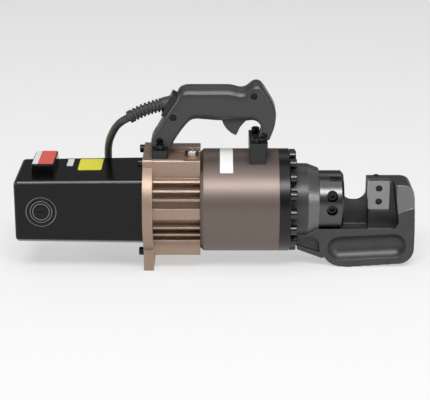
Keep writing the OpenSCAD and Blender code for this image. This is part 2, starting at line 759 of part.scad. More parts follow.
module drive_gear() {
  color([0.6, 0.6, 0.62]) at_axis() translate([0, 0, -gear_centres]) difference() {
    section_x(wheel_x, wheel_x + wheel_w)
      gear_outline(wheel_teeth, 0.9 * gear_module, 1.25 * gear_module, 90 + 180 / wheel_teeth);
    bar_x(6 + 0.02, wheel_x - 1, wheel_x + wheel_w + 1);
    for (i = [0 : 5]) rotate([60 * i + 30, 0, 0]) translate([wheel_x - 1, 0, 10]) rotate([0, 90, 0])
      cylinder(r = 2, h = wheel_w + 2);
  }
}

module eccentric_shaft() {
  color([0.7, 0.7, 0.72]) at_axis() translate([0, 0, -gear_centres]) {
    bar_x(small_bore_r, pump_x + 0.3, web_x + 0.2);
    bar_x(6, web_x + 0.1, ecc_x - 0.5);
    bar_x(7.5, wheel_x + wheel_w + 0.2, ecc_x);
    translate([0, 0, eccentric_throw]) bar_x(ecc_bore_r, ecc_x - 0.5, ecc_x + ecc_w);
    bar_x(small_bore_r, ecc_x + ecc_w - 0.1, front_journal_x + 1);
  }
}

module eccentric_bearing() {
  color("silver") at_axis() translate([0, 0, eccentric_throw - gear_centres])
    bearing(ecc_bearing_r + seat, ecc_bore_r, ecc_x + 0.3, ecc_w - 0.6);
}

module shaft_bearings() {
  color("silver") at_axis() translate([0, 0, -gear_centres]) {
    bearing(small_bearing_r, small_bore_r, pump_x + 0.1, small_bearing_w - 0.2);
    bearing(small_bearing_r, small_bore_r, block_x + 0.1, small_bearing_w - 0.2);
  }
}

module pump_block() {
  spring_pocket_top = ecc_top + 16;
  color([0.62, 0.62, 0.64]) at_axis() difference() {
    union() {
      bar_x(chamber_r - loose, block_x, cyl_x);
      block([ecc_x + 0.5, -bridge_half, ecc_top + 0.8], [block_x + 1, bridge_half, bridge_top]);
    }
    translate([0, 0, -gear_centres]) {
      bar_x(small_bearing_r, block_x - 1, front_journal_x);
      bar_x(small_bore_r + 2, block_x, front_journal_x + 2);
    }
    bar_z(plunger_r + fit, ecc_x + ecc_w / 2, 0, ecc_top, valve_z + 3);
    bar_z(7.6, ecc_x + ecc_w / 2, 0, ecc_top, spring_pocket_top);
    translate([0, 0, valve_z]) {
      bar_x(1.5, ecc_x + ecc_w / 2, cyl_x + 1);
      bar_x(3.6, cyl_x - 13, cyl_x + 1);
    }
    translate([0, 22, 8]) bar_x(3 + fit, cyl_x - 16, cyl_x + 1);
  }
}

module pump_plunger() {
  x = ecc_x + ecc_w / 2;
  color([0.8, 0.8, 0.82]) at_axis() {
    bar_z(plunger_r, x, 0, ecc_top + loose, valve_z - 2);
    bar_z(7.2, x, 0, ecc_top + loose, ecc_top + 2.3);
  }
}

module plunger_spring() {
  x = ecc_x + ecc_w / 2;
  color("silver") at_axis() translate([x, 0, ecc_top + 2.4])
    coil_spring(5.9, 1.4, 13.4, 4, 10, 6);
}

module delivery_valve() {
  color("silver") at_axis() translate([0, 0, valve_z]) {
    translate([cyl_x - 10.1, 0, 0]) sphere(r = 2.8, $fn = 24);
    translate([cyl_x - 7.2, 0, 0]) rotate([0, 90, 0]) coil_spring(2.4, 0.8, 7, 4, 8, 6);
  }
}

module release_valve() {
  color([0.8, 0.8, 0.82]) at_axis() translate([0, 22, 8]) {
    bar_x(3, cyl_x - 15, cyl_x - 2);
    cone_x(3, 1, cyl_x - 2, cyl_x - 0.3);
  }
}

// Cylinder and piston

module oil_cylinder() {
  color([0.6, 0.53, 0.49]) at_axis() difference() {
    union() {
      cone_x(cyl_r - cyl_edge, cyl_r, cyl_x, cyl_x + cyl_edge);
      bar_x(cyl_r, cyl_x + cyl_edge, ring_x);
    }
    bar_x(bore_r, cyl_x + cyl_end_wall, ring_x + 1);
    translate([0, 0, valve_z]) bar_x(2, cyl_x - 1, cyl_x + cyl_end_wall + 1);
    translate([0, 22, 8]) bar_x(2, cyl_x - 1, cyl_x + cyl_end_wall + 1);
    for (i = [0 : ring_screws - 1]) rotate([360 * i / ring_screws, 0, 0]) translate([0, 0, ring_screw_circle])
      bar_x(m8[0] + seat, ring_x - 14, ring_x + 1);
    for (y = [-1, 1]) bar_z(m6[0] + seat, saddle_x - 2, y * 23, 48, cyl_r);
  }
}

module piston() {
  screw_x = moving_face_x - moving_block_l / 2;
  seal_x = piston_x + 6;
  color([0.35, 0.35, 0.36]) at_axis() difference() {
    union() {
      bar_x(bore_r - fit, piston_x, piston_front);
      bar_x(rod_r, piston_front, rod_nose_x - 3);
      cone_x(rod_r, rod_r - 3, rod_nose_x - 3, rod_nose_x);
    }
    ring_along_x(bore_r + 1, bore_r - 4, seal_x, seal_x + 6);
    block([flat_x, flat_y, -bore_r], [nose_x, bore_r, bore_r]);
    block([moving_face_x - moving_block_l - seat, shear_gap - seat, moving_block_z - block_h / 2 - seat],
      [nose_x, bore_r, moving_block_z + block_h / 2 + seat]);
    block([rod_nose_x - 17, -20, rod_r - 7.5], [nose_x, -10.5, rod_r + 1]);
    for (z = [-1, 1]) {
      bar_y(m8[0] + seat, screw_x, moving_block_z + z * block_screw_half, -rod_r, flat_y);
      bar_y(m8[1] + 0.2, screw_x, moving_block_z + z * block_screw_half, -rod_r - 1, -22);
    }
    bar_x(14, piston_x - 1, piston_x + 4);
  }
}

module piston_seal() {
  seal_x = piston_x + 6;
  color([0.1, 0.1, 0.1]) at_axis() difference() {
    ring_along_x(bore_r - fit, bore_r - 3.9, seal_x + seat, seal_x + 6 - seat);
    ring_along_x(bore_r + 1, bore_r - 0.8, seal_x + 2.4, seal_x + 3.6);
  }
}

module return_spring() {
  color([0.55, 0.55, 0.58]) at_axis() translate([piston_front, 0, 0]) rotate([0, 90, 0])
    coil_spring(spring_r, spring_wire, spigot_x - piston_front, spring_turns, 18, 8);
}

module rod_wiper() {
  color([0.12, 0.12, 0.12]) at_axis()
    ring_along_x(rod_r + 3.8, rod_r + fit, hub_face_x - 9.8, hub_face_x - 5.2);
}

module front_ring() {
  color([0.06, 0.06, 0.07]) at_axis() difference() {
    union() {
      bar_x(cyl_r, ring_x, head_x - 1);
      cone_x(cyl_r, cyl_r - 1, head_x - 1, head_x);
    }
    bar_x(collar_r + seat, ring_x - 1, ring_x + 7.5);
    bar_x(hub_r + seat, ring_x, head_x + 1);
    for (i = [0 : ring_screws - 1]) rotate([360 * i / ring_screws, 0, 0]) translate([0, 0, ring_screw_circle])
      bar_x(m8[0] + seat, ring_x - 1, head_x + 1);
  }
}

module ring_bolts() {
  color([0.2, 0.2, 0.21]) at_axis() for (i = [0 : ring_screws - 1]) rotate([360 * i / ring_screws, 0, 0])
    translate([head_x, 0, ring_screw_circle]) rotate([0, 90, 0]) cap_screw(m8, ring_t + 13);
}

// The side outline of the head's forging in X and Z
module head_side() {
  bottom = -axis_h;
  nose_top_r = 12;
  polygon(concat(
    [[head_x + 10, -57], [hub_face_x + 3, -68], [hub_face_x + 6, -68.6]],
    [for (a = [200 : 14 : 270]) [hub_face_x + 32 + 26 * cos(a), bottom + 20 + 20 * sin(a)]],
    [[hub_face_x + 42, bottom], [nose_x - 20, bottom + 3.8]],
    [for (a = [-80 : 13 : 0]) [nose_x - 20 + 20 * cos(a), bottom + 23.5 + 20 * sin(a)]],
    [[nose_x + 0, -36], [nose_x - 1.4, 8]],
    [for (a = [10 : 16 : 90]) [nose_x - 2.2 - nose_top_r + nose_top_r * cos(a), arm_top - nose_top_r + nose_top_r * sin(a)]],
    [[fixed_face_x + 2, arm_top], [hub_face_x - 12, arm_top], [head_x + 10, 20]]));
}

// The open throat in the wall behind the blocks, in X and Z
module throat_outline() {
  mid = blocks_mid_x;
  half = throat / 2;
  r = 13;
  hull() {
    for (x = [-1, 1]) translate([mid + x * (half - r), r - throat_floor]) circle(r, $fn = 48);
    translate([mid - half, arm_top + 1]) square([2 * half, 4]);
  }
}

// The open room beside the fixed block: a trough that goes on under the block's shelf, with a
// rounded corner and a slanted end wall
module block_room() {
  far_x = pocket_end_x + 9;
  intersection() {
    union() {
      intersection() {
        union() {
          bar_x(trough_r, pocket_x - 5, pocket_end_x - 4);
          cone_x(trough_r, trough_r - 1.8, pocket_end_x - 4, pocket_end_x - 0.5);
          cone_x(trough_r - 1.8, trough_r - 6.5, pocket_end_x - 0.5, pocket_end_x + 3);
        }
        union() {
          block([pocket_x - 6, -60, -60], [far_x, -block_t, 60]);
          block([pocket_x - 6, -60, -60], [far_x, 0, ledge_z - shelf_t]);
          block([shelf_end_x, -60, -60], [far_x, 0, 60]);
        }
      }
      block([pocket_x - 5, -60, ledge_z], [far_x, 0, 60]);
    }
    translate([pocket_end_x, 0, 0]) rotate([0, -pocket_slant, 0]) block([-80, -61, -70], [0, 61, 70]);
  }
}

// A long round-bottomed groove in the near face, its middle line from one end to the other
module side_groove(x0, z0, x1, z1) {
  long = norm([x1 - x0, z1 - z0]);
  translate([x0, -head_half - groove_out, z0]) rotate([0, -atan2(z1 - z0, x1 - x0), 0]) {
    bar_x(groove_r, 0, long);
    for (x = [0, long]) translate([x, 0, 0]) sphere(r = groove_r);
  }
}

module cutter_head() {
  back_y = head_half + 1;
  color([0.25, 0.25, 0.26]) at_axis() difference() {
    union() {
      bar_x(bore_r - seat, spigot_x, ring_x + 1);
      bar_x(collar_r, ring_x + seat, ring_x + 7.4);
      bar_x(hub_r, ring_x + 7, hub_face_x - 14);
      cone_x(hub_r, hub_face_r, hub_face_x - 14, hub_face_x);
      difference() {
        plate_y(-head_half, head_half) head_side();
        bar_x(hub_r - 3, head_x, hub_face_x - 8);
      }
    }
    bar_x(rod_r + fit, spigot_x - 1, hub_face_x + 1);
    ring_along_x(rod_r + 4, rod_r - 1, hub_face_x - 10, hub_face_x - 5);
    intersection() {
      bar_x(trough_r, hub_face_x, pocket_x);
      block([hub_face_x - 1, -60, -60], [pocket_x + 1, wall_y, 60]);
    }
    block([hub_face_x, -60, -20], [pocket_x, wall_y, 60]);
    block_room();
    plate_y(wall_y - 2, back_y) throat_outline();
    for (side = [-1, 1]) scale([1, side, 1]) {
      side_groove(hub_face_x + 26.5, -55.8, nose_x - 25.5, -52.4);
      plate_y(head_half - 7, back_y)
        polygon([[head_x + 9, -41], [head_x + 30, -41], [head_x + 36, -47], [head_x + 38, -61], [head_x + 9, -51]]);
    }
    translate([pocket_end_x, -head_half, -11.5]) rotate([-9.5, 0, 0]) rotate([0, -19.5, 0])
      block([-20, -10, 0], [60, 0, 60]);
    for (z = [-1, 1]) {
      bar_y(m8[0] + seat, fixed_face_x + block_l / 2, fixed_block_z + z * block_screw_half, -1, back_y);
      bar_y(m8[1] + 0.2, fixed_face_x + block_l / 2, fixed_block_z + z * block_screw_half, head_half - 5, back_y);
    }
  }
}

// A cutting block in its own place, with its two screw holes
module cutting_block(x0, length, y0, z) {
  difference() {
    block([x0, y0, z - block_h / 2], [x0 + length, y0 + block_t, z + block_h / 2]);
    for (s = [-1, 1]) bar_y(m8[0] + seat, x0 + length / 2, z + s * block_screw_half, y0 - 1, y0 + block_t + 1);
  }
}

module moving_block() {
  color([0.5, 0.5, 0.51]) at_axis() cutting_block(moving_face_x - moving_block_l, moving_block_l, shear_gap, moving_block_z);
}

module fixed_block() {
  color([0.5, 0.5, 0.51]) at_axis() cutting_block(fixed_face_x, block_l, -block_t, fixed_block_z);
}

module moving_block_screws() {
  color([0.15, 0.15, 0.16]) at_axis() for (s = [-1, 1])
    translate([moving_face_x - moving_block_l / 2, -22, moving_block_z + s * block_screw_half]) rotate([90, 0, 0])
      cap_screw(m8, 22 + shear_gap + block_t - 1.5);
}

module fixed_block_screws() {
  color([0.15, 0.15, 0.16]) at_axis() for (s = [-1, 1])
    translate([fixed_face_x + block_l / 2, head_half - 5, fixed_block_z + s * block_screw_half])
      rotate([-90, 0, 0]) cap_screw(m8, head_half - 5 + block_t - 2.5);
}

// Handle

module rear_foot() {
  tongue = 6;
  color([0.16, 0.16, 0.17]) at_axis() difference() {
    union() {
      translate([0, 0, rail_top]) linear_extrude(rear_foot_t) round_box([foot_x - 10, -33], [foot_x + 10, 33], 4);
      block([foot_x - 6, -tongue, foot_top - 1], [foot_x + 7, tongue, foot_top + 19]);
    }
    for (y = [-1, 1]) bar_z(m6[0] + seat, foot_x, y * 24, rail_top - 1, foot_top + 1);
    bar_y(m5[0] + seat, handle_bolt_holes[2][0], handle_bolt_holes[2][1], -tongue - 1, tongue + 1);
  }
}

module front_saddle() {
  tongue = 6;
  color([0.16, 0.16, 0.17]) at_axis() difference() {
    union() {
      translate([0, 0, 50]) linear_extrude(23)
        round_box([saddle_x - 10.4, -saddle_half], [saddle_x + 9.4, saddle_half], 1.5);
      translate([0, 0, 72]) linear_extrude(saddle_top - 72)
        round_box([saddle_x - 10.4, -saddle_half], [saddle_x + 11.6, saddle_half], 1.5);
      block([saddle_tongue_x, -tongue, saddle_top - 1], [saddle_x + 11.4, tongue, saddle_top + 10]);
    }
    bar_x(cyl_r + seat, saddle_x - 20, saddle_x + 11.2);
    for (y = [-1, 1]) bar_z(m6[0] + seat, saddle_x - 2, y * 23, 45, saddle_top + 1);
    bar_y(m5[0] + seat, handle_bolt_holes[3][0], handle_bolt_holes[3][1], -tongue - 1, tongue + 1);
  }
}

module foot_screws() {
  color([0.2, 0.2, 0.21]) at_axis() for (y = [-1, 1]) {
    translate([foot_x, y * 24, foot_top]) cap_screw(m6, rear_foot_t + 12);
    translate([saddle_x - 2, y * 23, saddle_top]) cap_screw(m6, saddle_top - 50);
  }
}

// One ring of the near half: from the upper edge, round the side, to the lower edge
function handle_ring(upper, lower, blend) = let (
    u = unit(upper - lower), side_r = leg_round + (grip_round - leg_round) * blend,
    r = min(side_r, norm(upper - lower) / 2 - 1), side = handle_half - r)
  concat([[upper[0], 0, upper[1]]],
    [for (a = [0 : 22.5 : 90]) let (p = upper - u * r * (1 - cos(a))) [p[0], -side - r * sin(a), p[1]]],
    [for (a = [90 : -22.5 : 0]) let (p = lower + u * r * (1 - cos(a))) [p[0], -side - r * sin(a), p[1]]],
    [[lower[0], 0, lower[1]]]);

// The near half of the handle, on the -Y side
module handle_shell() {
  skin([for (s = smooth(handle_stations, 2)) handle_ring([s[0], s[1]], [s[2], s[3]], s[4])]);
}

// The seat of the cord's boot in the handle's rear face
module boot_bore() {
  translate([boot_exit[0], 0, boot_exit[1]]) rotate([0, -90 - boot_axis_tilt, 0])
    translate([0, 0, -9]) cylinder(r = boot_r + seat, h = 40);
}

module handle_half_body(head_side_near) {
  difference() {
    handle_shell();
    block([trigger_pivot[0] - trigger_r - 0.8, -trigger_half - 0.4, 90], [trigger_pivot[0] + 8.5, 1, 124]);
    block([-24.2, -9.2, 106], [trigger_pivot[0] - trigger_r - 0.8 + tiny, 1, 130]);
    bar_y(2, trigger_pivot[0], trigger_pivot[1], -12, 1);
    bar_y(5, trigger_pivot[0], trigger_pivot[1], -11.5, 1);
    block([foot_x - 6 - seat, -6 - seat, 60], [foot_x + 7 + seat, 1, foot_top + 19 + seat]);
    block([saddle_tongue_x - seat, -6 - seat, 70], [saddle_x + 11.4 + seat, 1, saddle_top + 10 + seat]);
    boot_bore();
    for (p = handle_bolt_holes) if (head_side_near) {
      bar_y(m5[0] + seat, p[0], p[1], -handle_half - 1, 1);
      bar_y(m5[1] + 0.3, p[0], p[1], -handle_half - 1, -handle_half + 5);
    }
    else bar_y(m5[0] + seat, p[0], p[1], -handle_half + 5, 1);
  }
}

module handle_near() {
  color([0.27, 0.27, 0.29]) at_axis() handle_half_body(true);
}

module handle_far() {
  color([0.27, 0.27, 0.29]) at_axis() mirror([0, 1, 0]) handle_half_body(false);
}

module handle_screws() {
  color([0.15, 0.15, 0.16]) at_axis() for (p = handle_bolt_holes)
    translate([p[0], -handle_half + 5, p[1]]) rotate([90, 0, 0]) cap_screw(m5, 2 * handle_half - 11);
}

module trigger() {
  px = trigger_pivot[0];
  pz = trigger_pivot[1];
  face = [[px + 3, 104], [36.5, 102.6], [31, 97], [27.4, 91.6], [25, 85.8], [23.2, 83.7]];
  back = [for (a = [245 : -7 : 178]) [px + trigger_r * cos(a), pz + trigger_r * sin(a)]];
  color([0.25, 0.25, 0.27]) at_axis() difference() {
    union() {
      plate_y(-trigger_half, trigger_half) polygon(concat(smooth(face, 2), back, [[px, pz + 3]]));
      bar_y(6.5, px, pz, -trigger_half, trigger_half);
    }
    bar_y(2 + fit, px, pz, -trigger_half - 1, trigger_half + 1);
  }
}

module trigger_pin() {
  color("silver") at_axis() bar_y(2, trigger_pivot[0], trigger_pivot[1], -11.9, 11.9);
}

module trigger_spring() {
  color("silver") at_axis() translate([trigger_pivot[0], -trigger_half - 0.5, trigger_pivot[1]]) rotate([90, 0, 0])
    coil_spring(3.2, 0.9, 3.9, 2.5, 10, 6);
}

module switch_body() {
  front = trigger_pivot[0] - trigger_r - 0.8;
  color([0.1, 0.1, 0.1]) at_axis() difference() {
    union() {
      block([-24, -9, 106.2], [front - 0.2, 9, 129.8]);
    }
    for (x = [-19, -9]) bar_y(2, x, 118, -10, 10);
  }
}

// The plate that holds the cord's boot against the handle, along the sloping rear face
module boot_collar() {
  slope = 63;
  deep = 9;
  color([0.2, 0.2, 0.21]) at_axis() difference() {
    translate([-59.5, 0, 122.9]) rotate([0, -slope, 0]) translate([-15, -12, -deep]) cube([30, 24, deep]);
    handle_shell();
    mirror([0, 1, 0]) handle_shell();
    boot_bore();
  }
}

module cord_boot() {
  tip = lead_points[0];
  spine = concat(smooth([for (p = boot_route) [p[0], 0, p[1]]], 9), [tip]);
  n = len(spine) - 1;
  color([0.12, 0.12, 0.13]) at_axis() swept(spine,
    [for (i = [0 : n]) i < 16 ? boot_r : i > n - 2 ? 6.5 : (i % 4 < 2 ? 8.2 : 6.6)], 12, [0, 1, 0]);
}

module cord_lead() {
  last = coil_start - [0, cord_d, 0];
  route = concat(smooth(concat(lead_points, [last + [0, -2, 0]]), 3), [last]);
  color([0.1, 0.1, 0.1]) at_axis() swept(route, [for (p = route) cord_r], 10, [0, 1, 0]);
}

module cord_coil() {
  echo(least_gap_between_turns_mm = coil_gap);
  path = concat([coil_start - [0, cord_d, 0]], coil_path, [coil_end - [0, cord_d, 0]]);
  color([0.1, 0.1, 0.1]) at_axis() swept(path, [for (p = path) cord_r], 6, [0, 0, 1]);
}

module cord_tail() {
  from = coil_end - [0, cord_d, 0];
  to = [coil_end[0], plug_y, plug_h / 2 - axis_h];
  route = concat([from], smooth([from - [0, 3, 0], from - [0, 8, 0.2], to + [0, 8, 0.2], to + [0, 3, 0]], 3), [to]);
  color([0.1, 0.1, 0.1]) at_axis() swept(route, [for (p = route) cord_r], 10, [0, 0, 1]);
}

module plug_body() {
  x = coil_end[0];
  z = plug_h / 2 - axis_h;
  color([0.1, 0.1, 0.1]) at_axis() translate([x, plug_y, z]) rotate([90, 0, 0]) {
    cylinder(r1 = 6.5, r2 = 8.5, h = 12);
    translate([0, 0, 11]) linear_extrude(8) round_rect(plug_w - 8, plug_h - 6, 6);
    translate([0, 0, 18]) linear_extrude(plug_l - 18) round_rect(plug_w, plug_h, 6);
  }
}

module plug_pins() {
  x = coil_end[0];
  z = plug_h / 2 - axis_h;
  color([0.8, 0.7, 0.45]) at_axis() {
    for (side = [-1, 1]) block([x + side * 6.35 - 0.75, plug_y - plug_l - 17, z + 1],
      [x + side * 6.35 + 0.75, plug_y - plug_l, z + 7.3]);
    bar_y(2.4, x, z - 6, plug_y - plug_l - 20, plug_y - plug_l);
  }
}

motor_housing();
top_box();
brush_caps();
brush_holders();
carbon_brushes();
brush_springs();
rear_bearing();
front_bearing();
stator_core();
stator_coils();
armature_shaft();
armature_core();
armature_windings();
commutator();
cooling_fan();
pump_housing();
flange_screws();
oil_plug();
plug_washer();
drive_gear();
eccentric_shaft();
eccentric_bearing();
shaft_bearings();
pump_block();
pump_plunger();
plunger_spring();
delivery_valve();
release_valve();
oil_cylinder();
piston();
piston_seal();
return_spring();
rod_wiper();
front_ring();
ring_bolts();
cutter_head();
moving_block();
moving_block_screws();
fixed_block();
fixed_block_screws();
rear_foot();
front_saddle();
foot_screws();
handle_near();
handle_far();
handle_screws();
trigger();
trigger_pin();
trigger_spring();
switch_body();
boot_collar();
cord_boot();
cord_lead();
cord_coil();
cord_tail();
plug_body();
plug_pins();
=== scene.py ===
# %% [markdown]
# # Dressing a hand-held rebar cutter
#
# The machine arrives as a packed CAD model: every rigid piece is already in its place and at its
# true size. This lesson adds what the CAD model leaves out: the cord, the ribbed boot, soft edges
# on the forging and the handle, bare label plates, and above all the finishes. The frame is loaded
# first, and the end of the lesson prints the dressed machine's box.

import json
import math

import bmesh
import bpy
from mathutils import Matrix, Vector

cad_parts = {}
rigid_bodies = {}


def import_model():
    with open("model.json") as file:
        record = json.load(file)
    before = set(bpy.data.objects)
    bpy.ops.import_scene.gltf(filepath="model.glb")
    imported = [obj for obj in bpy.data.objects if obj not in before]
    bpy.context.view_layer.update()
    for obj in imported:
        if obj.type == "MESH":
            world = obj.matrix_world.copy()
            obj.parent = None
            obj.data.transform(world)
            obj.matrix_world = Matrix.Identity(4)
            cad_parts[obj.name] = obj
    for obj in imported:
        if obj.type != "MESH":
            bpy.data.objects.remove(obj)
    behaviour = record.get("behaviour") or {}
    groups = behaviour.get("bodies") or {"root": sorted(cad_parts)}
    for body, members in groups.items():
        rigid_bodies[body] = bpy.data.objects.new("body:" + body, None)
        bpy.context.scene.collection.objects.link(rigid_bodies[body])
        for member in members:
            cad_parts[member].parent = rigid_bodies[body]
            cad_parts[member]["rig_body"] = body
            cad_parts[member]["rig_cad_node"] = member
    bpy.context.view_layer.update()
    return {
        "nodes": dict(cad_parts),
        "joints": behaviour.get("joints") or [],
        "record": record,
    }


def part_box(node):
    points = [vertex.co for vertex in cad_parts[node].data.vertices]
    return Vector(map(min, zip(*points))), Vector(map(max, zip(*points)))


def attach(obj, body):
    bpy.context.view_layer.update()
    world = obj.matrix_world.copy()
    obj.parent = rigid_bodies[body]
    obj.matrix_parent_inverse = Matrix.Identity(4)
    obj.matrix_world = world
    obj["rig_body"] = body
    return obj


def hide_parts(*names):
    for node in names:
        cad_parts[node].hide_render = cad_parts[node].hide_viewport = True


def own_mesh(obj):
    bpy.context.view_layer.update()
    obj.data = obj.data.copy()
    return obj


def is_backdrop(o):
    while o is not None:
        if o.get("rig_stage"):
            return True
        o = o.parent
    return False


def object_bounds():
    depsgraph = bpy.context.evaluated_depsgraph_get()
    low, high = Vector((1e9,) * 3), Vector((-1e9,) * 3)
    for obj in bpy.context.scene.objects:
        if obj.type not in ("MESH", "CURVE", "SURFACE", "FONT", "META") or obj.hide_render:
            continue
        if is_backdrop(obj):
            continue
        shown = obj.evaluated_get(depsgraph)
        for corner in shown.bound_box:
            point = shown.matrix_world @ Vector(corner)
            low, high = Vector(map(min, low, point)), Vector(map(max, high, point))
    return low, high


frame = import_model()
nodes = frame["nodes"]
AXIS_Z = 0.080  # height of the tool's own axis above the ground

# %% [markdown]
# ## A small vocabulary
#
# Operators act on everything that is selected, and the loaded nodes start out selected. So each
# piece begins with nothing selected, and ends with its place written into its own mesh, which
# keeps object coordinates, and with them every pattern, steady.


# %% Helpers for selecting and finishing a piece
def deselect():
    """Leaves edit mode and selects nothing."""
    if bpy.context.object and bpy.context.object.mode != "OBJECT":
        bpy.ops.object.mode_set(mode="OBJECT")
    bpy.ops.object.select_all(action="DESELECT")


def pick(piece):
    """Selects one piece alone and makes it the active one."""
    deselect()
    piece.select_set(True)
    bpy.context.view_layer.objects.active = piece


def settle(piece, body, smooth_angle):
    """Writes the place into the mesh, smooths the shallow edges and fastens the piece to a body."""
    pick(piece)
    bpy.ops.object.transform_apply(location=True, rotation=True, scale=True)
    bpy.ops.object.shade_smooth_by_angle(angle=math.radians(smooth_angle))
    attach(piece, body)
    print(piece.name, "has", len(piece.data.polygons), "faces")


def add_modifier(piece, kind, **settings):
    """Adds a modifier with its settings and applies it at once."""
    pick(piece)
    modifier = piece.modifiers.new(kind.title(), kind)
    for name, value in settings.items():
        setattr(modifier, name, value)
    bpy.ops.object.modifier_apply(modifier=modifier.name)


print("selected after loading:", len(bpy.context.selected_objects), "objects")

# %% [markdown]
# ## The camera
#
# The photograph was taken from the open side of the cutter, 18.5 degrees above level and from far
# away, so the long machine keeps its straight lines. A long lens at 1.8 m gives the same view. The
# photograph's middle lies a hair to the left of the machine's and below its axis.

# %% Camera at the photograph's viewing angle
VIEW_UP = math.radians(18.5)
VIEW_FROM = 1.8
LENS_MM, SENSOR_MM = 122.3, 36
AIM_LEFT, AIM_BELOW = 0.00165, 0.0009
look_at = Vector((-AIM_LEFT, 0.0, AXIS_Z - AIM_BELOW))
deselect()
bpy.ops.object.camera_add(
    location=look_at + VIEW_FROM * Vector((0, -math.cos(VIEW_UP), math.sin(VIEW_UP))),
    rotation=(math.pi / 2 - VIEW_UP, 0, 0),
)
camera = bpy.context.object
camera.data.lens = LENS_MM
camera.data.sensor_width = SENSOR_MM
bpy.context.scene.camera = camera
print("camera stands at", [round(v, 3) for v in camera.location])

# %% [markdown]
# ## The route of the mains cord
#
# A rubber cord of 9.4 mm leaves the boot and falls behind the motor. What the photograph doesn't
# show of it lies in a neat coil behind the machine, with the plug beside it. The points repeat the
# CAD route, in millimetres about the tool's axis. A few are enough, because a smooth curve is drawn
# through them.

# %% A smooth line through a few points
MM = 1000  # millimetres in a metre


def axis_point(x, y, z):
    """A CAD point in millimetres about the tool's axis, as metres above the ground."""
    return Vector((x / MM, y / MM, z / MM + AXIS_Z))


def curve_point(p0, p1, p2, p3, t):
    """The point at share t of the way from p1 to p2; p0 and p3 bend the curve."""
    rise = 2 * p0 - 5 * p1 + 4 * p2 - p3
    bend = 3 * p1 - p0 - 3 * p2 + p3
    return 0.5 * (2 * p1 + (p2 - p0) * t + rise * t * t + bend * t**3)


def smooth_route(points, steps):
    """The points, each followed by the steps of a smooth curve to the next one."""
    last = len(points) - 1
    found = []
    for i in range(last):
        around = [points[max(i - 1, 0)], points[i], points[i + 1], points[min(i + 2, last)]]
        found += [curve_point(*around, s / steps) for s in range(steps)]
    return found + [points[last]]


print("the boot's mouth lies at", [round(v, 4) for v in axis_point(-104.8, 0, 104.9)])

# %% The coil
CORD_R = 0.0047
COIL_TURNS = 4.5
COIL_PITCH = 0.0100
COIL_MID_R = 0.054
COIL_CENTRE = (-0.068, 0.142)
CLIMB_TURNS = 0.5
STEPS_PER_TURN = 24


def coil_point(turn):
    """The lower layer winds inwards, climbs within half a turn, and the upper one winds outwards."""
    half = COIL_TURNS / 2
    climb = min(max((turn - half + CLIMB_TURNS / 2) / CLIMB_TURNS, 0), 1)
    radius = COIL_MID_R - COIL_PITCH * COIL_TURNS / 4 + COIL_PITCH * abs(turn - half)
    angle = math.radians(180 - 360 * turn)
    x = COIL_CENTRE[0] + radius * math.cos(angle)
    y = COIL_CENTRE[1] + radius * math.sin(angle)
    height = CORD_R + COIL_PITCH * climb * climb * (3 - 2 * climb)
    return Vector((x, y, height))


coil = [coil_point(i / STEPS_PER_TURN) for i in range(int(COIL_TURNS * STEPS_PER_TURN) + 1)]
print("coil:", COIL_TURNS, "turns,", round(2 * COIL_MID_R, 3), "m across at the middle of its turns")

# %% The whole route, from the boot over the coil to the plug
ROUTE_STEPS = 4
PLUG_BACK_Y, PLUG_MIDDLE_Z = 0.104, 0.013
LEAD_IN = 0.002
NEAR, FURTHER, LIFT = 0.003, 0.008, 0.0002
coil_x_mm = (COIL_CENTRE[0] - COIL_MID_R - COIL_PITCH * COIL_TURNS / 4) * MM
floor_mm = CORD_R * MM - AXIS_Z * MM
drop_mm = [
    (-104.8, 0, 104.9), (-109.2, 0, 102.5), (-113.6, 1, 99.7), (-118.5, 5, 95), (-123.5, 12.5, 87.5),
    (-128, 22, 78), (-131.8, 32, 67.5), (-134.3, 42, 56.5), (-135.6, 51, 45), (-136, 57.5, 32),
    (-135.6, 61, 17), (-134.8, 62.5, 0), (-134, 64, -18), (-133.6, 67, -34), (-133.4, 73, -50),
    (-133.3, 82, -62.5), (coil_x_mm, 95, -71), (coil_x_mm, 110, -75), (coil_x_mm, 122, floor_mm),
]
drop = [axis_point(*point) for point in drop_mm]
one_cord = Vector((0, 2 * CORD_R, 0))
coil_start, tail_start = coil[0] - one_cord, coil[-1] - one_cord
PLUG_END = Vector((coil[-1].x, PLUG_BACK_Y, PLUG_MIDDLE_Z))
# Straight out of the coil, and straight into the plug.
tail = [
    tail_start,
    tail_start - Vector((0, NEAR, 0)),
    tail_start - Vector((0, FURTHER, -LIFT)),
    PLUG_END + Vector((0, FURTHER, LIFT)),
    PLUG_END + Vector((0, NEAR, 0)),
    PLUG_END,
]
lead = smooth_route(drop + [coil_start - Vector((0, LEAD_IN, 0))], ROUTE_STEPS)
route = lead + [coil_start] + coil + smooth_route(tail, ROUTE_STEPS)
route_length = sum((b - a).length for a, b in zip(route, route[1:]))
print("cord route:", len(route), "points,", round(route_length, 3), "m")

# %% [markdown]
# ## From a line to a tube
#
# A curve with a round bevel is the plain way to a cord, because its own line is the cord's centre
# line, and a radius at each point can taper it. It is made a mesh in the end, so that ribs can be
# joined to it, and because a curve's box also counts the radius of its points, which is a whole
# metre unless it is set.


# %% The cord
def tube_along(name, path, radii, roundness):
    """A closed round tube with its own radius at each point of the path."""
    deselect()
    bpy.ops.curve.primitive_nurbs_path_add()
    tube = bpy.context.object
    tube.name = name
    tube.location = (0, 0, 0)
    tube.data.splines.clear()
    line = tube.data.splines.new("POLY")
    line.points.add(len(path) - 1)
    for knot, place, radius in zip(line.points, path, radii):
        knot.co = (*place, 1)
        knot.radius = radius
    tube.data.bevel_depth = 1.0
    tube.data.bevel_resolution = roundness
    tube.data.use_fill_caps = True
    pick(tube)
    bpy.ops.object.convert(target="MESH")
    return bpy.context.object


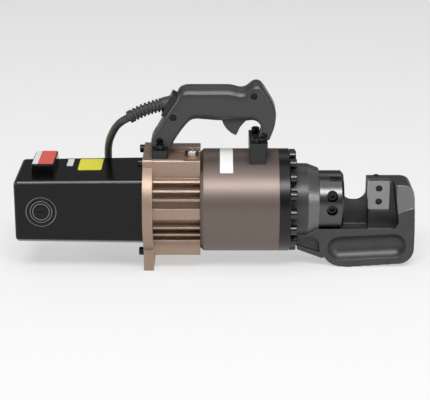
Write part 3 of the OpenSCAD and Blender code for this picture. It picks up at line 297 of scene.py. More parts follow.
cord = tube_along("mains_cord", route, [CORD_R] * len(route), roundness=5)
settle(cord, "casing", smooth_angle=60)
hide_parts("cord_lead", "cord_coil", "cord_tail")

# %% [markdown]
# ## The floor
#
# The machine stands on a plain pale floor that fills the photograph's view. It isn't part of the
# machine, so it is marked as stage. Its finish comes last.

# %% Floor
FLOOR_SIZE = 16
deselect()
bpy.ops.mesh.primitive_plane_add(size=FLOOR_SIZE, location=(0, 0, 0))
floor = bpy.context.object
floor.name = "floor"
floor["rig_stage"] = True
print("floor:", FLOOR_SIZE, "m square")

# %% [markdown]
# ## Soft light
#
# Gloss shows the lamps as much as the surface, so each lamp has a place for a reason. A wide softbox
# in front and above draws the long highlight on the cylinder and the ring. Weak ones overhead and
# behind lift the upper edges, and two narrow ones at the sides give the rounded edges something to
# mirror. A faint white world fills the rest.

# %% Lamps and world
MIDDLE = Vector((0, 0, AXIS_Z))
WORLD_STRENGTH = 0.12


def softbox(name, azimuth, elevation, distance, width, height, watts):
    """An area lamp on a sphere round the machine, turned to face it; azimuth 0 is in front."""
    a, e = math.radians(azimuth), math.radians(elevation)
    way = Vector((math.sin(a) * math.cos(e), -math.cos(a) * math.cos(e), math.sin(e)))
    bpy.ops.object.light_add(type="AREA", location=MIDDLE + distance * way)
    lamp = bpy.context.object
    lamp.name = name
    lamp.rotation_euler = way.to_track_quat("Z", "Y").to_euler()
    lamp.data.shape = "RECTANGLE"
    lamp.data.size, lamp.data.size_y = width, height
    lamp.data.energy = watts
    print(name, "gives", watts, "W from", azimuth, elevation)


softbox("front_softbox", 0, 49, distance=3.3, width=2.6, height=0.92, watts=86)
softbox("top_softbox", 0, 84, distance=2.8, width=3.0, height=1.4, watts=14)
softbox("rear_softbox", 180, 50, distance=3.2, width=3.6, height=1.0, watts=10)
softbox("left_softbox", -80, 20, distance=3.0, width=0.4, height=1.2, watts=18)
softbox("right_softbox", 46, 20, distance=3.0, width=0.6, height=0.8, watts=15)
world = bpy.context.scene.world or bpy.data.worlds.new("studio")
bpy.context.scene.world = world
world.use_nodes = True
sky = world.node_tree.nodes["Background"]
sky.inputs["Color"].default_value = (1, 1, 1, 1)
sky.inputs["Strength"].default_value = WORLD_STRENGTH
bpy.context.scene.view_settings.view_transform = "Standard"

# %% [markdown]
# ## Arithmetic for materials
#
# A finish is a small calculation that is repeated at each point of the surface. Written as nodes it
# is hard to read, so a thin class wraps one output socket and turns ordinary arithmetic into Math
# nodes. Any other node comes from a single method.


# %% Sockets that can be added and multiplied
class Flow:
    """One output socket; arithmetic on it adds Math nodes to the same finish."""

    def __init__(self, finish, socket):
        self.finish = finish
        self.socket = socket

    def math(self, operation, first, second):
        return self.finish.node("ShaderNodeMath", {"operation": operation}, {0: first, 1: second})

    def __add__(self, other):
        return self.math("ADD", self, other)

    def __radd__(self, other):
        return self.math("ADD", other, self)

    def __sub__(self, other):
        return self.math("SUBTRACT", self, other)

    def __rsub__(self, other):
        return self.math("SUBTRACT", other, self)

    def __mul__(self, other):
        return self.math("MULTIPLY", self, other)

    def __rmul__(self, other):
        return self.math("MULTIPLY", other, self)

    def __pow__(self, other):
        return self.math("POWER", self, other)

    def above(self, limit):
        return self.math("GREATER_THAN", self, limit)

    def below(self, limit):
        return self.math("LESS_THAN", self, limit)

    def size(self):
        """The value without its sign."""
        return (self**2) ** 0.5

    def swing(self, amount):
        """A noise between 0 and 1 becomes a change of up to half the amount, up or down."""
        return amount * (self - 0.5)

    def ramp(self, low, high):
        """0 at low, 1 at high, and even steps between."""
        limits = {"Value": self, "From Min": low, "From Max": high}
        return self.finish.node("ShaderNodeMapRange", {"clamp": True}, limits)


finishes = {}
print("operators ready:", [name for name in vars(Flow) if name.startswith("__r")])


# %% Two helpers for colours
def grey(value):
    return (value, value, value, 1.0)


def shade(colour, factor):
    """The colour made darker or lighter, and opaque."""
    return (*[min(1.0, part * factor) for part in colour[:3]], 1.0)


print("half of a light grey:", [round(part, 3) for part in shade(grey(0.85), 0.5)])


# %% A finish, made node by node
class Finish:
    """A material whose nodes are added by name, and which is kept in the list of finishes."""

    # The Mix node has sockets for every kind of value, and these are the ones for colours.
    MIX_FACTOR, MIX_FIRST, MIX_SECOND, MIX_RESULT = 0, 6, 7, 2
    # How far two normals differ where an edge begins to be rubbed, and where it is rubbed bare.
    RUB_FROM, RUB_FULL = 0.02, 0.3

    def __init__(self, name, **sockets):
        self.material = bpy.data.materials.new(name)
        self.material.use_nodes = True
        self.tree = self.material.node_tree
        self.surface = self.tree.nodes["Principled BSDF"]
        self.feed(self.surface, sockets)
        finishes[name] = self.material

    def feed(self, node, sockets):
        """Sets a node's sockets by name or number, to values or to links."""
        for name, value in sockets.items():
            key = name.replace("_", " ") if isinstance(name, str) else name
            if isinstance(value, Flow):
                self.tree.links.new(value.socket, node.inputs[key])
            else:
                node.inputs[key].default_value = value

    def node(self, kind, settings, sockets, output=0):
        """Any node: its type, its settings, and the values or links of its sockets."""
        made = self.tree.nodes.new(kind)
        for name, value in settings.items():
            setattr(made, name, value)
        self.feed(made, sockets)
        return Flow(self, made.outputs[output])

    def outputs(self, flow, names):
        """Several outputs of the node that a flow comes from."""
        return [Flow(self, flow.socket.node.outputs[name]) for name in names]

    def place(self):
        """Where the point lies, in metres."""
        return self.node("ShaderNodeTexCoord", {}, {}, "Object")

    def apart(self, place):
        """The three numbers of a place."""
        return self.outputs(self.node("ShaderNodeSeparateXYZ", {}, {0: place}), ("X", "Y", "Z"))

    def noise(self, scale, detail, rough=0.5, stretch=(1, 1, 1)):
        """Even noise; a stretch above 1 packs it closer along that axis."""
        spread = self.node("ShaderNodeMapping", {}, {"Vector": self.place(), "Scale": stretch})
        sockets = {"Vector": spread, "Scale": scale, "Detail": detail, "Roughness": rough}
        return self.node("ShaderNodeTexNoise", {}, sockets)

    def blend(self, factor, first, second):
        """Mixes two colours."""
        sockets = {self.MIX_FACTOR: factor, self.MIX_FIRST: first, self.MIX_SECOND: second}
        return self.node("ShaderNodeMix", {"data_type": "RGBA"}, sockets, self.MIX_RESULT)

    def drift(self, cloud, colour, amount):
        """The colour, darker or lighter by the amount as a noise says."""
        return self.blend(cloud, shade(colour, 1 - amount), shade(colour, 1 + amount))

    def soft_edges(self, radius):
        """A normal that turns smoothly over the edges."""
        return self.node("ShaderNodeBevel", {"samples": 4}, {"Radius": radius})

    def rubbed_edges(self, radius):
        """0 on a flat face, and up to 1 where the softened normal leaves the face's own."""
        softened = self.soft_edges(radius)
        own = self.node("ShaderNodeNewGeometry", {}, {}, "Normal")
        product = {"operation": "DOT_PRODUCT"}
        agree = self.node("ShaderNodeVectorMath", product, {0: softened, 1: own}, "Value")
        return (1 - agree).ramp(self.RUB_FROM, self.RUB_FULL)

    def relief(self, height, distance, strength, radius):
        """Fine relief, on top of softened edges where the radius isn't 0."""
        sockets = {"Height": height, "Distance": distance, "Strength": strength}
        if radius:
            sockets["Normal"] = self.soft_edges(radius)
        return self.node("ShaderNodeBump", {}, sockets)


print("a finish knows:", [name for name in vars(Finish) if name[0].islower()])

# %% [markdown]
# ## Moulded and painted surfaces
#
# Most surfaces belong to a few families: moulded or painted, cast, turned or ground metal, and
# rubber. Each family is one function. In this first one the colour drifts over broad clouds, a fine
# grain breaks the gloss, and a bevel in the normal softens the CAD model's crisp edges without a
# single new face. The motor housing and its caps mirror little, so their shine is turned down.


# %% Moulded and painted surfaces
def coated(
    name, colour, rough, grain, relief, coat=0.0, wander=0.12, radius=0.0008, metallic=0.0, shine=0.5
):
    """A smooth skin; grain is the scale of its texture, and wander how far the colour drifts."""
    finish = Finish(
        name, Metallic=metallic, Coat_Weight=coat, Coat_Roughness=0.06, Specular_IOR_Level=shine
    )
    cloudy = finish.noise(scale=22, detail=4)
    fine = finish.noise(scale=grain, detail=2)
    finish.feed(
        finish.surface,
        {
            "Base Color": finish.drift(cloudy, colour, wander),
            "Roughness": rough + cloudy.swing(0.06) + fine.swing(0.08),
            "Normal": finish.relief(fine, distance=0.0001, strength=relief, radius=radius),
        },
    )
    return finish


BLACK_GLOSS, CAP_GLOSS = (0.003, 0.003, 0.0033), (0.004, 0.004, 0.0045)
GRIP_GREY = (0.036, 0.036, 0.038)
housing = coated("gloss_plastic_housing", BLACK_GLOSS, rough=0.2, grain=900, relief=0.02, shine=0.28)
brush_cap = coated(
    "gloss_plastic_cap", CAP_GLOSS, rough=0.18, grain=1400, relief=0.02, radius=0.0006, shine=0.28
)
coated(
    "satin_black_ring", (0.002, 0.002, 0.0028),
    rough=0.3, grain=700, relief=0.02, radius=0.0005, shine=0.42,
)
coated(
    "satin_black_bracket", (0.008, 0.0085, 0.009), rough=0.36, grain=1600, relief=0.12, radius=0.0006
)
coated(
    "taupe_metallic_paint", (0.185, 0.147, 0.131),
    rough=0.44, grain=2600, relief=0.04, wander=0.04, metallic=0.84,
)
coated("grained_handle_plastic", GRIP_GREY, rough=0.34, grain=1500, relief=0.2, radius=0.001)
coated("satin_trigger_plastic", GRIP_GREY, rough=0.4, grain=1500, relief=0.16)
coated("fan_plastic", (0.03, 0.03, 0.032), rough=0.5, grain=1300, relief=0.1)
print(len(finishes), "coated finishes")

# %% [markdown]
# ## The housing's long edges and the brush caps' rims
#
# The housing's flat sides stay almost black, yet its long rounded edges show a thin bright line:
# they are rubbed smooth, and a rounded edge always finds a lamp to mirror. A clear coat with a high
# index lies along these four edges alone, and along the rims of the brush caps and of the rings cut
# round them. The masks come from the nodes' own boxes, so they follow the part.

# %% Polish the long edges and the rims
EDGE_BAND = 0.0042
EDGE_FADE = EDGE_BAND * 0.4
RIM_BAND = 0.00055
RIM_CORE = RIM_BAND / 3
GROOVE_RIM_OUT = 0.0045
CAP_RIMS_IN = (0.0003, 0.0036)
HOUSING_DRAFT = 0.0017  # each side draws in this far over the housing's length
POLISH = {"Coat_IOR": 3.0, "Coat_Roughness": 0.12}
cap_low, cap_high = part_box("brush_caps")
cap_middle, cap_r = (cap_low + cap_high) / 2, (cap_high[0] - cap_low[0]) / 2


def rims(finish, radii):
    """1 on thin circles round the brushes' axis, and 0 between them."""
    x, _, z = finish.apart(finish.place())
    out = ((x - cap_middle[0]) ** 2 + (z - cap_middle[2]) ** 2) ** 0.5
    return sum(1 - (out - r).size().ramp(RIM_CORE, RIM_BAND) for r in radii)


housing_low, housing_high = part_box("motor_housing")
housing_length, housing_width, housing_height = housing_high - housing_low
edge_x, edge_y, edge_z = housing.apart(housing.place())
taper = (housing_high[0] - edge_x) * (HOUSING_DRAFT / housing_length)
from_middle = edge_z - (housing_high[2] + housing_low[2]) / 2
across = edge_y.size() - (housing_width / 2 - EDGE_BAND) + taper
upward = from_middle.size() - (housing_height / 2 - EDGE_BAND) + taper
edges = across.ramp(0, EDGE_FADE) * upward.ramp(0, EDGE_FADE)
groove_rims = rims(housing, [cap_r + GROOVE_RIM_OUT])
cap_rims = rims(brush_cap, [cap_r - step for step in CAP_RIMS_IN])
housing.feed(housing.surface, {"Coat_Weight": edges + groove_rims, **POLISH})
brush_cap.feed(brush_cap.surface, {"Coat_Weight": cap_rims, **POLISH})
print("polished band along the edges:", round(EDGE_BAND * MM, 1), "mm")

# %% [markdown]
# ## Cast metal
#
# A casting keeps the grain of its sand, and its edges are rubbed brighter by years of hands and
# benches. Where the softened normal leaves the flat one there is an edge, and there the colour
# turns lighter and the surface smoother.


# %% Cast surfaces
SAND_LOW, SAND_HIGH, SAND_PALER = 0.35, 0.65, 1.12
EDGE_SHOWS, EDGE_SMOOTHER, EDGE_REACH = 0.8, 0.08, 1.6


def cast(name, colour, rough, grain, relief, metallic, worn=1.35, radius=0.0012):
    """Grainy metal whose edges are brighter by the factor worn."""
    finish = Finish(name, Metallic=metallic)
    cloudy = finish.noise(scale=35, detail=4)
    sand = finish.noise(scale=grain, detail=3, rough=0.6)
    edge = finish.rubbed_edges(radius * EDGE_REACH)
    body = finish.drift(cloudy, colour, 0.14)
    grainy = finish.blend(sand.ramp(SAND_LOW, SAND_HIGH), body, shade(colour, SAND_PALER))
    finish.feed(
        finish.surface,
        {
            "Base Color": finish.blend(edge * EDGE_SHOWS, grainy, shade(colour, worn)),
            "Roughness": rough + sand.swing(0.12) - EDGE_SMOOTHER * edge,
            "Normal": finish.relief(sand, distance=0.0002, strength=relief, radius=radius),
        },
    )


cast(
    "bronze_casting", (0.34, 0.244, 0.19),
    rough=0.42, grain=1000, relief=0.5, metallic=0.62, worn=1.7,
)
cast("grey_pump_iron", (0.3, 0.3, 0.31), rough=0.42, grain=900, relief=0.15, metallic=0.8)
cast("carbon_block", (0.03, 0.03, 0.03), rough=0.7, grain=1500, relief=0.2, metallic=0.1)
print(len(finishes), "finishes so far")

# %% [markdown]
# ## Turned, ground and plated metal
#
# A tool leaves marks in one direction, and they catch the light in the other. A noise that is packed
# closely along one axis looks like such marks, and it stirs both the gloss and the relief.


# %% Turned, ground and plated metal
LATHE_LINES = (12, 0.6, 0.6)


def metal(name, colour, rough, lines=(1, 1, 1), scale=400, relief=0.08, radius=0.0004):
    """Bare metal with fine tool marks; lines packs the marks along one axis."""
    finish = Finish(name, Metallic=1.0)
    marks = finish.noise(scale, detail=2, rough=0.6, stretch=lines)
    cloudy = finish.noise(scale=60, detail=3)
    finish.feed(
        finish.surface,
        {
            "Base Color": finish.drift(cloudy, colour, 0.1),
            "Roughness": rough + marks.swing(0.14),
            "Normal": finish.relief(marks, distance=0.00008, strength=relief, radius=radius),
        },
    )


metal("turned_piston_steel", (0.11, 0.11, 0.109), 0.28, LATHE_LINES, 220, relief=0.3, radius=0.0005)
metal("hardened_block_steel", (0.30, 0.30, 0.305), 0.36, (1, 1, 6), 180, relief=0.12, radius=0.0005)
metal("black_screw_steel", (0.035, 0.035, 0.037), 0.3, scale=700, relief=0.12, radius=0.0003)
metal("dark_bolt_steel", (0.07, 0.07, 0.073), 0.26, scale=700, relief=0.1, radius=0.0003)
metal("polished_chrome", (0.82, 0.83, 0.85), 0.2, relief=0.02)
metal("ground_gear_steel", (0.52, 0.52, 0.54), 0.28, (6, 1, 1), 260, relief=0.14)
metal("bearing_steel", (0.6, 0.61, 0.63), 0.2, scale=300, relief=0.05)
metal("spring_steel", (0.5, 0.51, 0.53), 0.3)
metal("lamination_steel", (0.36, 0.36, 0.38), 0.42, (30, 0.4, 0.4), 120, relief=0.5)
metal("copper_winding", (0.62, 0.26, 0.1), 0.34, (0.5, 6, 6), 260, relief=0.6)
metal("commutator_copper", (0.7, 0.36, 0.2), 0.3, (8, 0.5, 0.5), 200, relief=0.2)
metal("yellow_brass", (0.7, 0.5, 0.2), 0.3)
metal("copper_washer_metal", (0.6, 0.33, 0.2), 0.32)
print(len(finishes), "finishes so far")

# %% [markdown]
# ## Rubber
#
# The cord's sheath, the boot and the seals are dull rubber. Their colour is close to black but never
# black, because rubber is always a little dusty.


# %% Rubber
def rubber(name, colour, rough):
    """Dull, with a very fine grain and no edge to speak of."""
    finish = Finish(name)
    cloudy = finish.noise(scale=30, detail=3)
    fine = finish.noise(scale=900, detail=2)
    finish.feed(
        finish.surface,
        {
            "Base Color": finish.drift(cloudy, colour, 0.15),
            "Roughness": rough + fine.swing(0.1),
            "Normal": finish.relief(fine, distance=0.00008, strength=0.12, radius=0),
        },
    )


rubber("cord_sheath_rubber", (0.045, 0.045, 0.047), 0.42)
rubber("boot_rubber", (0.04, 0.04, 0.042), 0.5)
rubber("seal_rubber", (0.02, 0.02, 0.02), 0.55)
print(len(finishes), "finishes so far")

# %% [markdown]
# ## The forged head
#
# The head is one forging. The cone at the front of its hub was turned on a lathe, so it is brighter
# steel. A facet beside the fixed block gets a painted highlight, a lighter colour on it alone, while
# the rest keeps the dark skin of the forge. One material can hold all three: a mask made of the
# distance from the tool's axis says where the lathe has been, and the distance from the facet's
# plane says where the highlight is painted.

# %% Where the forging is turned, and where a highlight is painted
CONE_BACK, CONE_FRONT = 0.1112, 0.1252
CONE_BACK_R, CONE_SLOPE = 0.0447, 0.386
CONE_SKIN = 0.0006
FACET_AT = (0.2201, -0.024, 0.0685)
FACET_OUT = (0.0, -0.9863, 0.165)
FACET_UP = (-0.3338, 0.1556, 0.9297)
FACET_SKIN = 0.0003
forged = Finish("forged_head_steel")
forged_place = forged.apart(forged.place())
forged_x, forged_y, forged_z = forged_place
from_axis = (forged_y**2 + (forged_z - AXIS_Z) ** 2) ** 0.5
cone_r = CONE_BACK_R - CONE_SLOPE * (forged_x - CONE_BACK)
turned = (from_axis - cone_r).below(CONE_SKIN)
turned = turned * forged_x.above(CONE_BACK) * forged_x.below(CONE_FRONT)


def along_way(way):
    """Distance from the facet's lowest corner, measured along a direction."""
    along_x, along_y, along_z = [
        (value - at) * part for value, at, part in zip(forged_place, FACET_AT, way)
    ]
    return along_x + along_y + along_z


outward = along_way(FACET_OUT)
on_plane = outward.above(-FACET_SKIN) * outward.below(FACET_SKIN)
# The facet's painted highlight: a lighter colour on its plane alone, standing in for the light it
# catches.
facet_painted_highlight = on_plane * along_way(FACET_UP).above(0) * forged_x.above(FACET_AT[0])
print("the turned mask covers the cone from x =", CONE_BACK, "to", CONE_FRONT)

# %% Forged skin with a turned cone and a painted highlight on a facet
SKIN_DARK, SKIN_PALE = (0.04, 0.04, 0.0405, 1), (0.06, 0.06, 0.061, 1)
SKIN_RUBBED, BARE_STEEL_AND_FACET_HIGHLIGHT = (0.13, 0.13, 0.132, 1), (0.17, 0.17, 0.172, 1)
RUB_SHOWS = 0.7
SKIN_METALLIC, TURNED_ADDS = 0.3, 0.5
SKIN_ROUGH = 0.36
skin = forged.noise(scale=700, detail=4, rough=0.6)
broad = forged.noise(scale=45, detail=4)
lathe_marks = forged.noise(scale=220, detail=2, rough=0.6, stretch=LATHE_LINES)
rub = forged.rubbed_edges(0.0012)
skin_colour = forged.blend(rub * RUB_SHOWS, forged.blend(broad, SKIN_DARK, SKIN_PALE), SKIN_RUBBED)
height = skin * (1 - turned) + lathe_marks * turned
forged.feed(
    forged.surface,
    {
        # Lighter on the turned cone, which is bare steel, and on the facet, where the lighter colour
        # is a painted highlight.
        "Base Color": forged.blend(turned + facet_painted_highlight, skin_colour, BARE_STEEL_AND_FACET_HIGHLIGHT),
        "Metallic": SKIN_METALLIC + TURNED_ADDS * turned,
        "Roughness": SKIN_ROUGH + skin.swing(0.12),
        "Normal": forged.relief(height, distance=0.0002, strength=0.16, radius=0.0008),
    },
)
print("the head's finish has", len(forged.tree.nodes), "nodes")

# %% [markdown]
# ## Finishes onto the CAD nodes
#
# The record names a material slot for each node. One table from slot to finish dresses all of them,
# also the pieces inside that show only when the machine is opened up.

# %% Dress every CAD node
SLOT_FINISH = {
    "motor_housing": "gloss_plastic_housing",
    "top_box": "gloss_plastic_housing",
    "brush_caps": "gloss_plastic_cap",
    "brass_parts": "yellow_brass",
    "carbon": "carbon_block",
    "spring_steel": "spring_steel",
    "bearing_steel": "bearing_steel",
    "lamination_steel": "lamination_steel",
    "copper_winding": "copper_winding",
    "gear_steel": "ground_gear_steel",
    "commutator_copper": "commutator_copper",
    "fan_plastic": "fan_plastic",
    "bronze_casting": "bronze_casting",
    "black_steel": "black_screw_steel",
    "chrome_plug": "polished_chrome",
    "copper_washer": "copper_washer_metal",
    "pump_block_iron": "grey_pump_iron",
    "cylinder_paint": "taupe_metallic_paint",
    "piston_steel": "turned_piston_steel",
    "seal_rubber": "seal_rubber",
    "ring_black": "satin_black_ring",
    "bolt_steel": "dark_bolt_steel",
    "head_forging": "forged_head_steel",
    "block_steel": "hardened_block_steel",
    "bracket_black": "satin_black_bracket",
    "handle_plastic": "grained_handle_plastic",
    "trigger_plastic": "satin_trigger_plastic",
    "boot_rubber": "boot_rubber",
    "cord_rubber": "cord_sheath_rubber",
}
slot_of = {row["node"]: row["material_slot"] for row in frame["record"]["subparts"]}


def dress(piece, finish):
    """Gives a piece one finish and takes off any other."""
    piece.data.materials.clear()
    piece.data.materials.append(finishes[finish])


for name, node in nodes.items():
    dress(node, SLOT_FINISH[slot_of[name]])
dress(cord, "cord_sheath_rubber")
print("dressed", len(nodes), "nodes with", len(set(SLOT_FINISH.values())), "finishes")

# %% [markdown]
# ## Label plates
#
# The machine carries a few stickers. They stay bare here, but each is still a thin plate with
# rounded corners that lies on its surface and catches the light along its rim. Its film is smooth,
# bright and slightly glossy.

# %% Label finishes
LABEL_T = 0.0003
for label, colour in (
    ("red_label_film", (0.80, 0.125, 0.09)),
    ("yellow_label_film", (0.84, 0.79, 0.06)),
    ("white_label_film", (0.86, 0.86, 0.855)),
):
    coated(label, colour, rough=0.34, coat=0.2, grain=500, relief=0.03, wander=0.03, radius=0.0)
print("labels stand", LABEL_T * MM, "mm proud")

# %% [markdown]
# ## Flat plates
#
# A flat plate starts as a plane whose four corners are rounded by a bevel on its vertices, and it is
# then extruded to its thickness. Two of them share the top of the raised box.


# %% Plates on the raised box
def flat_label(name, low, high, top, corner, finish, tilt=0.0):
    """A thin plate between two corners, lying on a surface at the height given."""
    deselect()
    middle = ((low[0] + high[0]) / 2, (low[1] + high[1]) / 2, top)
    bpy.ops.mesh.primitive_plane_add(size=1, location=middle, rotation=(0, tilt, 0))
    label = bpy.context.object
    label.name = name
    label.scale = (high[0] - low[0], high[1] - low[1], 1)
    bpy.ops.object.transform_apply(location=False, rotation=False, scale=True)
    bpy.ops.object.mode_set(mode="EDIT")
    bpy.ops.mesh.select_all(action="SELECT")
    bpy.ops.mesh.bevel(offset=corner, segments=6, affect="VERTICES")
    bpy.ops.mesh.select_all(action="SELECT")
    bpy.ops.mesh.extrude_region_move(TRANSFORM_OT_translate={"value": (0, 0, LABEL_T)})
    bpy.ops.mesh.select_all(action="SELECT")
    bpy.ops.mesh.normals_make_consistent(inside=False)
    bpy.ops.object.mode_set(mode="OBJECT")
    dress(label, finish)
    settle(label, "casing", smooth_angle=30)


END_GAP, SIDE_GAP = 0.0012, 0.0015
WHITE_TO, RED_FROM = 0.0081, 0.0085
BOX_CORNER = 0.0008
box_low, box_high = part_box("top_box")
near_y, far_y = box_low[1] + SIDE_GAP, box_high[1] - SIDE_GAP
for name, x0, x1, finish in (
    ("plate_on_box_red", box_low[0] + RED_FROM, box_high[0] - END_GAP, "red_label_film"),
    ("plate_on_box_white", box_low[0] + END_GAP, box_low[0] + WHITE_TO, "white_label_film"),
):
    flat_label(name, (x0, near_y), (x1, far_y), box_high[2], BOX_CORNER, finish)

# %% [markdown]
# ## Plates on the sloping top
#
# A moulded housing is drafted, so that it can leave its mould: this one's top falls a little towards
# its rear end. A plate that lies on it tilts by the same angle, or one of its edges would hang in
# the air.

# %% Plates on the motor housing
top_slope = math.atan2(HOUSING_DRAFT, housing_length)


def housing_top(x):
    """Height of the housing's flat top at one station."""
    return housing_high[2] - HOUSING_DRAFT * (housing_high[0] - x) / housing_length


for name, low, high, corner, finish in (
    ("plate_white_strip", (-0.1845, 0.013), (-0.177, 0.0415), 0.0006, "white_label_film"),
    ("plate_yellow", (-0.1695, -0.005), (-0.1405, 0.0415), 0.003, "yellow_label_film"),
):
    top = housing_top((low[0] + high[0]) / 2)
    flat_label(name, low, high, top, corner, finish, tilt=-top_slope)
print("the top falls by", round(math.degrees(top_slope), 2), "degrees")

# %% [markdown]
# ## The plate on the cylinder
#
# A sticker on a round body is a piece of a tube. So an open tube is made round the tool's own axis,
# the faces outside the plate's angles are deleted, and what stays gets its thickness outwards.


# %% A plate that follows the cylinder
CYLINDER_R = 0.0630
FACES_ROUND = 180  # one every two degrees


def wrapped_label(name, x0, x1, radius, angle0, angle1, finish):
    """Cut from a thin tube round the tool's axis; angles are measured from -Y upwards."""
    deselect()
    bpy.ops.mesh.primitive_cylinder_add(
        vertices=FACES_ROUND, radius=radius, depth=x1 - x0, end_fill_type="NOTHING",
        location=((x0 + x1) / 2, 0, AXIS_Z), rotation=(0, math.pi / 2, 0),
    )
    label = bpy.context.object
    label.name = name
    bpy.ops.object.transform_apply(location=True, rotation=True, scale=True)
    bpy.ops.object.mode_set(mode="EDIT")
    bpy.ops.mesh.select_all(action="DESELECT")
    bpy.ops.mesh.select_mode(type="FACE")
    shape = bmesh.from_edit_mesh(label.data)
    for face in shape.faces:
        middle = face.calc_center_median()
        angle = math.degrees(math.atan2(middle.z - AXIS_Z, -middle.y))
        face.select_set(not angle0 < angle < angle1)
    bmesh.update_edit_mesh(label.data)
    bpy.ops.mesh.delete(type="FACE")
    bpy.ops.object.mode_set(mode="OBJECT")
    add_modifier(label, "SOLIDIFY", thickness=LABEL_T, offset=1.0)
    dress(label, finish)
    settle(label, "casing", smooth_angle=40)


wrapped_label(
    "plate_on_cylinder", x0=0.0043, x1=0.0199, radius=CYLINDER_R, angle0=48, angle1=128,
    finish="white_label_film",
)

# %% [markdown]
# ## The ribbed boot
#
# Where the cord enters the handle, a rubber boot keeps it from kinking. It is a tapered sleeve with
# ribs that are joined only by the sleeve inside them. The sleeve is a tube along the boot's line,
# and one function makes a rib at any place on it, turned to face along it.

# %% Sleeve of the boot
BOOT_STEPS = 9
SEAT_KNOTS, SEAT_R = 14, 0.0084
SLEEVE_R, SLEEVE_TAPER = 0.0060, 0.0003
BOOT_LINE = [
    axis_point(x, 0, z)
    for x, z in (
        (-52, 124), (-60.6, 121.7), (-70, 119.3), (-81.4, 116), (-93, 111.2),
        (-103.04, 105.86), (-104.8, 104.9),
    )
]
boot_route = smooth_route(BOOT_LINE, BOOT_STEPS)
last_knot = len(boot_route) - 1


def sleeve_radius(knot):
    """Thick where the boot sits in the handle, then thin and tapering."""
    if knot < SEAT_KNOTS:
        return SEAT_R
    return SLEEVE_R - SLEEVE_TAPER * (knot - SEAT_KNOTS) / (last_knot - SEAT_KNOTS)


sleeve = tube_along(
    "boot_sleeve", boot_route, [sleeve_radius(i) for i in range(last_knot + 1)], roundness=8
)
print("the sleeve has", last_knot + 1, "knots")

# %% Ribs of the boot
RIBS, RIB_THICK = 11, 0.0025
RIB_R, RIB_R_STEP = 0.0083, 0.00006
RIB_SIDES, RIM_ROUND = 36, 0.3
FIRST_RIB, KNOTS_AFTER_LAST = 15, 4


def rib_at(place, way, radius, thick):
    """A disc with rounded rims that faces along the way."""
    turn = way.to_track_quat("Z", "Y").to_euler()
    bpy.ops.mesh.primitive_cylinder_add(
        vertices=RIB_SIDES, radius=radius, depth=thick, location=place, rotation=turn
    )
    rib = bpy.context.object
    bpy.ops.object.transform_apply(location=True, rotation=True, scale=True)
    add_modifier(rib, "BEVEL", width=thick * RIM_ROUND, segments=2)
    return rib


ribs = []
for i in range(RIBS):
    at = FIRST_RIB + i * (last_knot - KNOTS_AFTER_LAST - FIRST_RIB) / (RIBS - 1)
    before = int(at)
    place = boot_route[before].lerp(boot_route[before + 1], at - before)
    way = (boot_route[before + 1] - boot_route[before]).normalized()
    ribs.append(rib_at(place, way, RIB_R - RIB_R_STEP * i, RIB_THICK))
deselect()
for piece in ribs + [sleeve]:
    piece.select_set(True)
bpy.context.view_layer.objects.active = sleeve
bpy.ops.object.join()
dress(sleeve, "boot_rubber")
settle(sleeve, "casing", smooth_angle=40)
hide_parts("cord_boot")

# %% [markdown]
# ## Soft edges on forging and handle
#
# The CAD solids have crisp edges, but a forging and a moulded grip have none. A fine voxel remesh
# followed by a few smoothing passes rounds every edge by about a millimetre, and fills the corners
# of the pockets in the same way as a die does. The head's mesh grows too large that way, so it is
# thinned where it is flat.

# %% Copy a solid, and let the copy stand for it
MERGE_WITHIN = 0.000001


def node_copy(name, node_name):
    """A merged copy of a CAD node, on no body yet."""
    source = nodes[node_name]
    deselect()
    piece = source.copy()
    piece.data = source.data.copy()
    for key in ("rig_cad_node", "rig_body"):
        if key in piece:
            del piece[key]
    piece.parent = None
    piece.name = name
    bpy.context.scene.collection.objects.link(piece)
    pick(piece)
    bpy.ops.object.mode_set(mode="EDIT")
    bpy.ops.mesh.select_all(action="SELECT")
    bpy.ops.mesh.remove_doubles(threshold=MERGE_WITHIN)
    bpy.ops.object.mode_set(mode="OBJECT")
    return piece


def stand_in(piece, node_name):
    """Dresses the copy, fastens it to its node's body and lets it stand for the node."""
    dress(piece, SLOT_FINISH[slot_of[node_name]])
    bodies = frame["record"]["behaviour"]["bodies"]
    body = next(body for body, members in bodies.items() if node_name in members)
    settle(piece, body, smooth_angle=60)
    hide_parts(node_name)
    return piece


# %% Round it all over
MOST_TRIANGLES = 185000


def rounded_copy(name, node_name, voxel, passes):
    """Remeshed and smoothed; a mesh above the limit loses triangles where it is flat."""
    piece = node_copy(name, node_name)
    add_modifier(piece, "REMESH", mode="VOXEL", voxel_size=voxel)
    add_modifier(piece, "SMOOTH", factor=0.5, iterations=passes)
    triangles = sum(len(face.vertices) - 2 for face in piece.data.polygons)
    if triangles > MOST_TRIANGLES:
        add_modifier(piece, "DECIMATE", ratio=MOST_TRIANGLES / triangles)
    stand_in(piece, node_name)


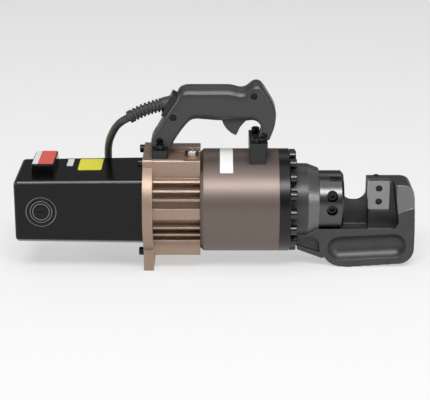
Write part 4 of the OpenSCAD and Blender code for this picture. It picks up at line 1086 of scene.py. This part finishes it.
rounded_copy("head_forging", "cutter_head", voxel=0.0008, passes=3)
rounded_copy("grip_near", "handle_near", voxel=0.0008, passes=4)
rounded_copy("grip_far", "handle_far", voxel=0.0008, passes=4)
rounded_copy("trigger_lever", "trigger", voxel=0.0006, passes=3)

# %% [markdown]
# ## The return spring
#
# The spring rides on the piston, but its front end stands on the head's spigot, which stays where
# it is. So it should shorten by the piston's travel and flatten towards its rear end, which the
# piston carries. Here it only gets its own copy of the mesh, and the share of its length that it
# would keep is worked out.

# %% The spring's own mesh, and how much of its length it would keep
coil_spring = stand_in(node_copy("return_coil", "return_spring"), "return_spring")
low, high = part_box("return_spring")
travel = next(joint for joint in frame["joints"] if joint["name"] == "piston_slide")["range_m"][1]
shortest = 1 - travel / (high[0] - low[0])
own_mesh(coil_spring)
print("the spring keeps", round(shortest, 2), "of its length")

# %% [markdown]
# ## The floor's finish
#
# The floor is plain, pale and so rough that it doesn't mirror the machine. Half of what the camera
# and every mirror or glass sees of it is an even white glow. It keeps the background pale without
# more light on the machine, and the other half still shows the machine's shadow.

# %% Floor finish
FLOOR_GLOW = 0.5
FLOOR_DARK, FLOOR_PALE = grey(0.85), grey(0.87)
paper = Finish("pale_paper_floor", Roughness=0.9, Specular_IOR_Level=0.0)
paper_grain = paper.noise(scale=300, detail=2)
paper.feed(paper.surface, {"Base Color": paper.blend(paper_grain, FLOOR_DARK, FLOOR_PALE)})
by_camera, by_mirror, by_glass = paper.outputs(
    paper.node("ShaderNodeLightPath", {}, {}),
    ("Is Camera Ray", "Is Glossy Ray", "Is Transmission Ray"),
)
glow = paper.node("ShaderNodeEmission", {}, {"Color": grey(1.0), "Strength": 1.0})
lit = Flow(paper, paper.surface.outputs["BSDF"])
share = FLOOR_GLOW * (by_camera + by_mirror + by_glass)
shown = paper.node("ShaderNodeMixShader", {}, {0: share, 1: lit, 2: glow})
paper.tree.links.new(shown.socket, paper.tree.nodes["Material Output"].inputs["Surface"])
dress(floor, "pale_paper_floor")
print("the floor glows by", FLOOR_GLOW)

# %% [markdown]
# ## The dressed machine's box
#
# The dressed machine should be no larger than the CAD model, apart from the half millimetre by which
# a round cord passes the CAD model's coarser one. So its box is printed.

# %% Print the visual box
low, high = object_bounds()
print("visual box", [round(v, 4) for v in low], [round(v, 4) for v in high])
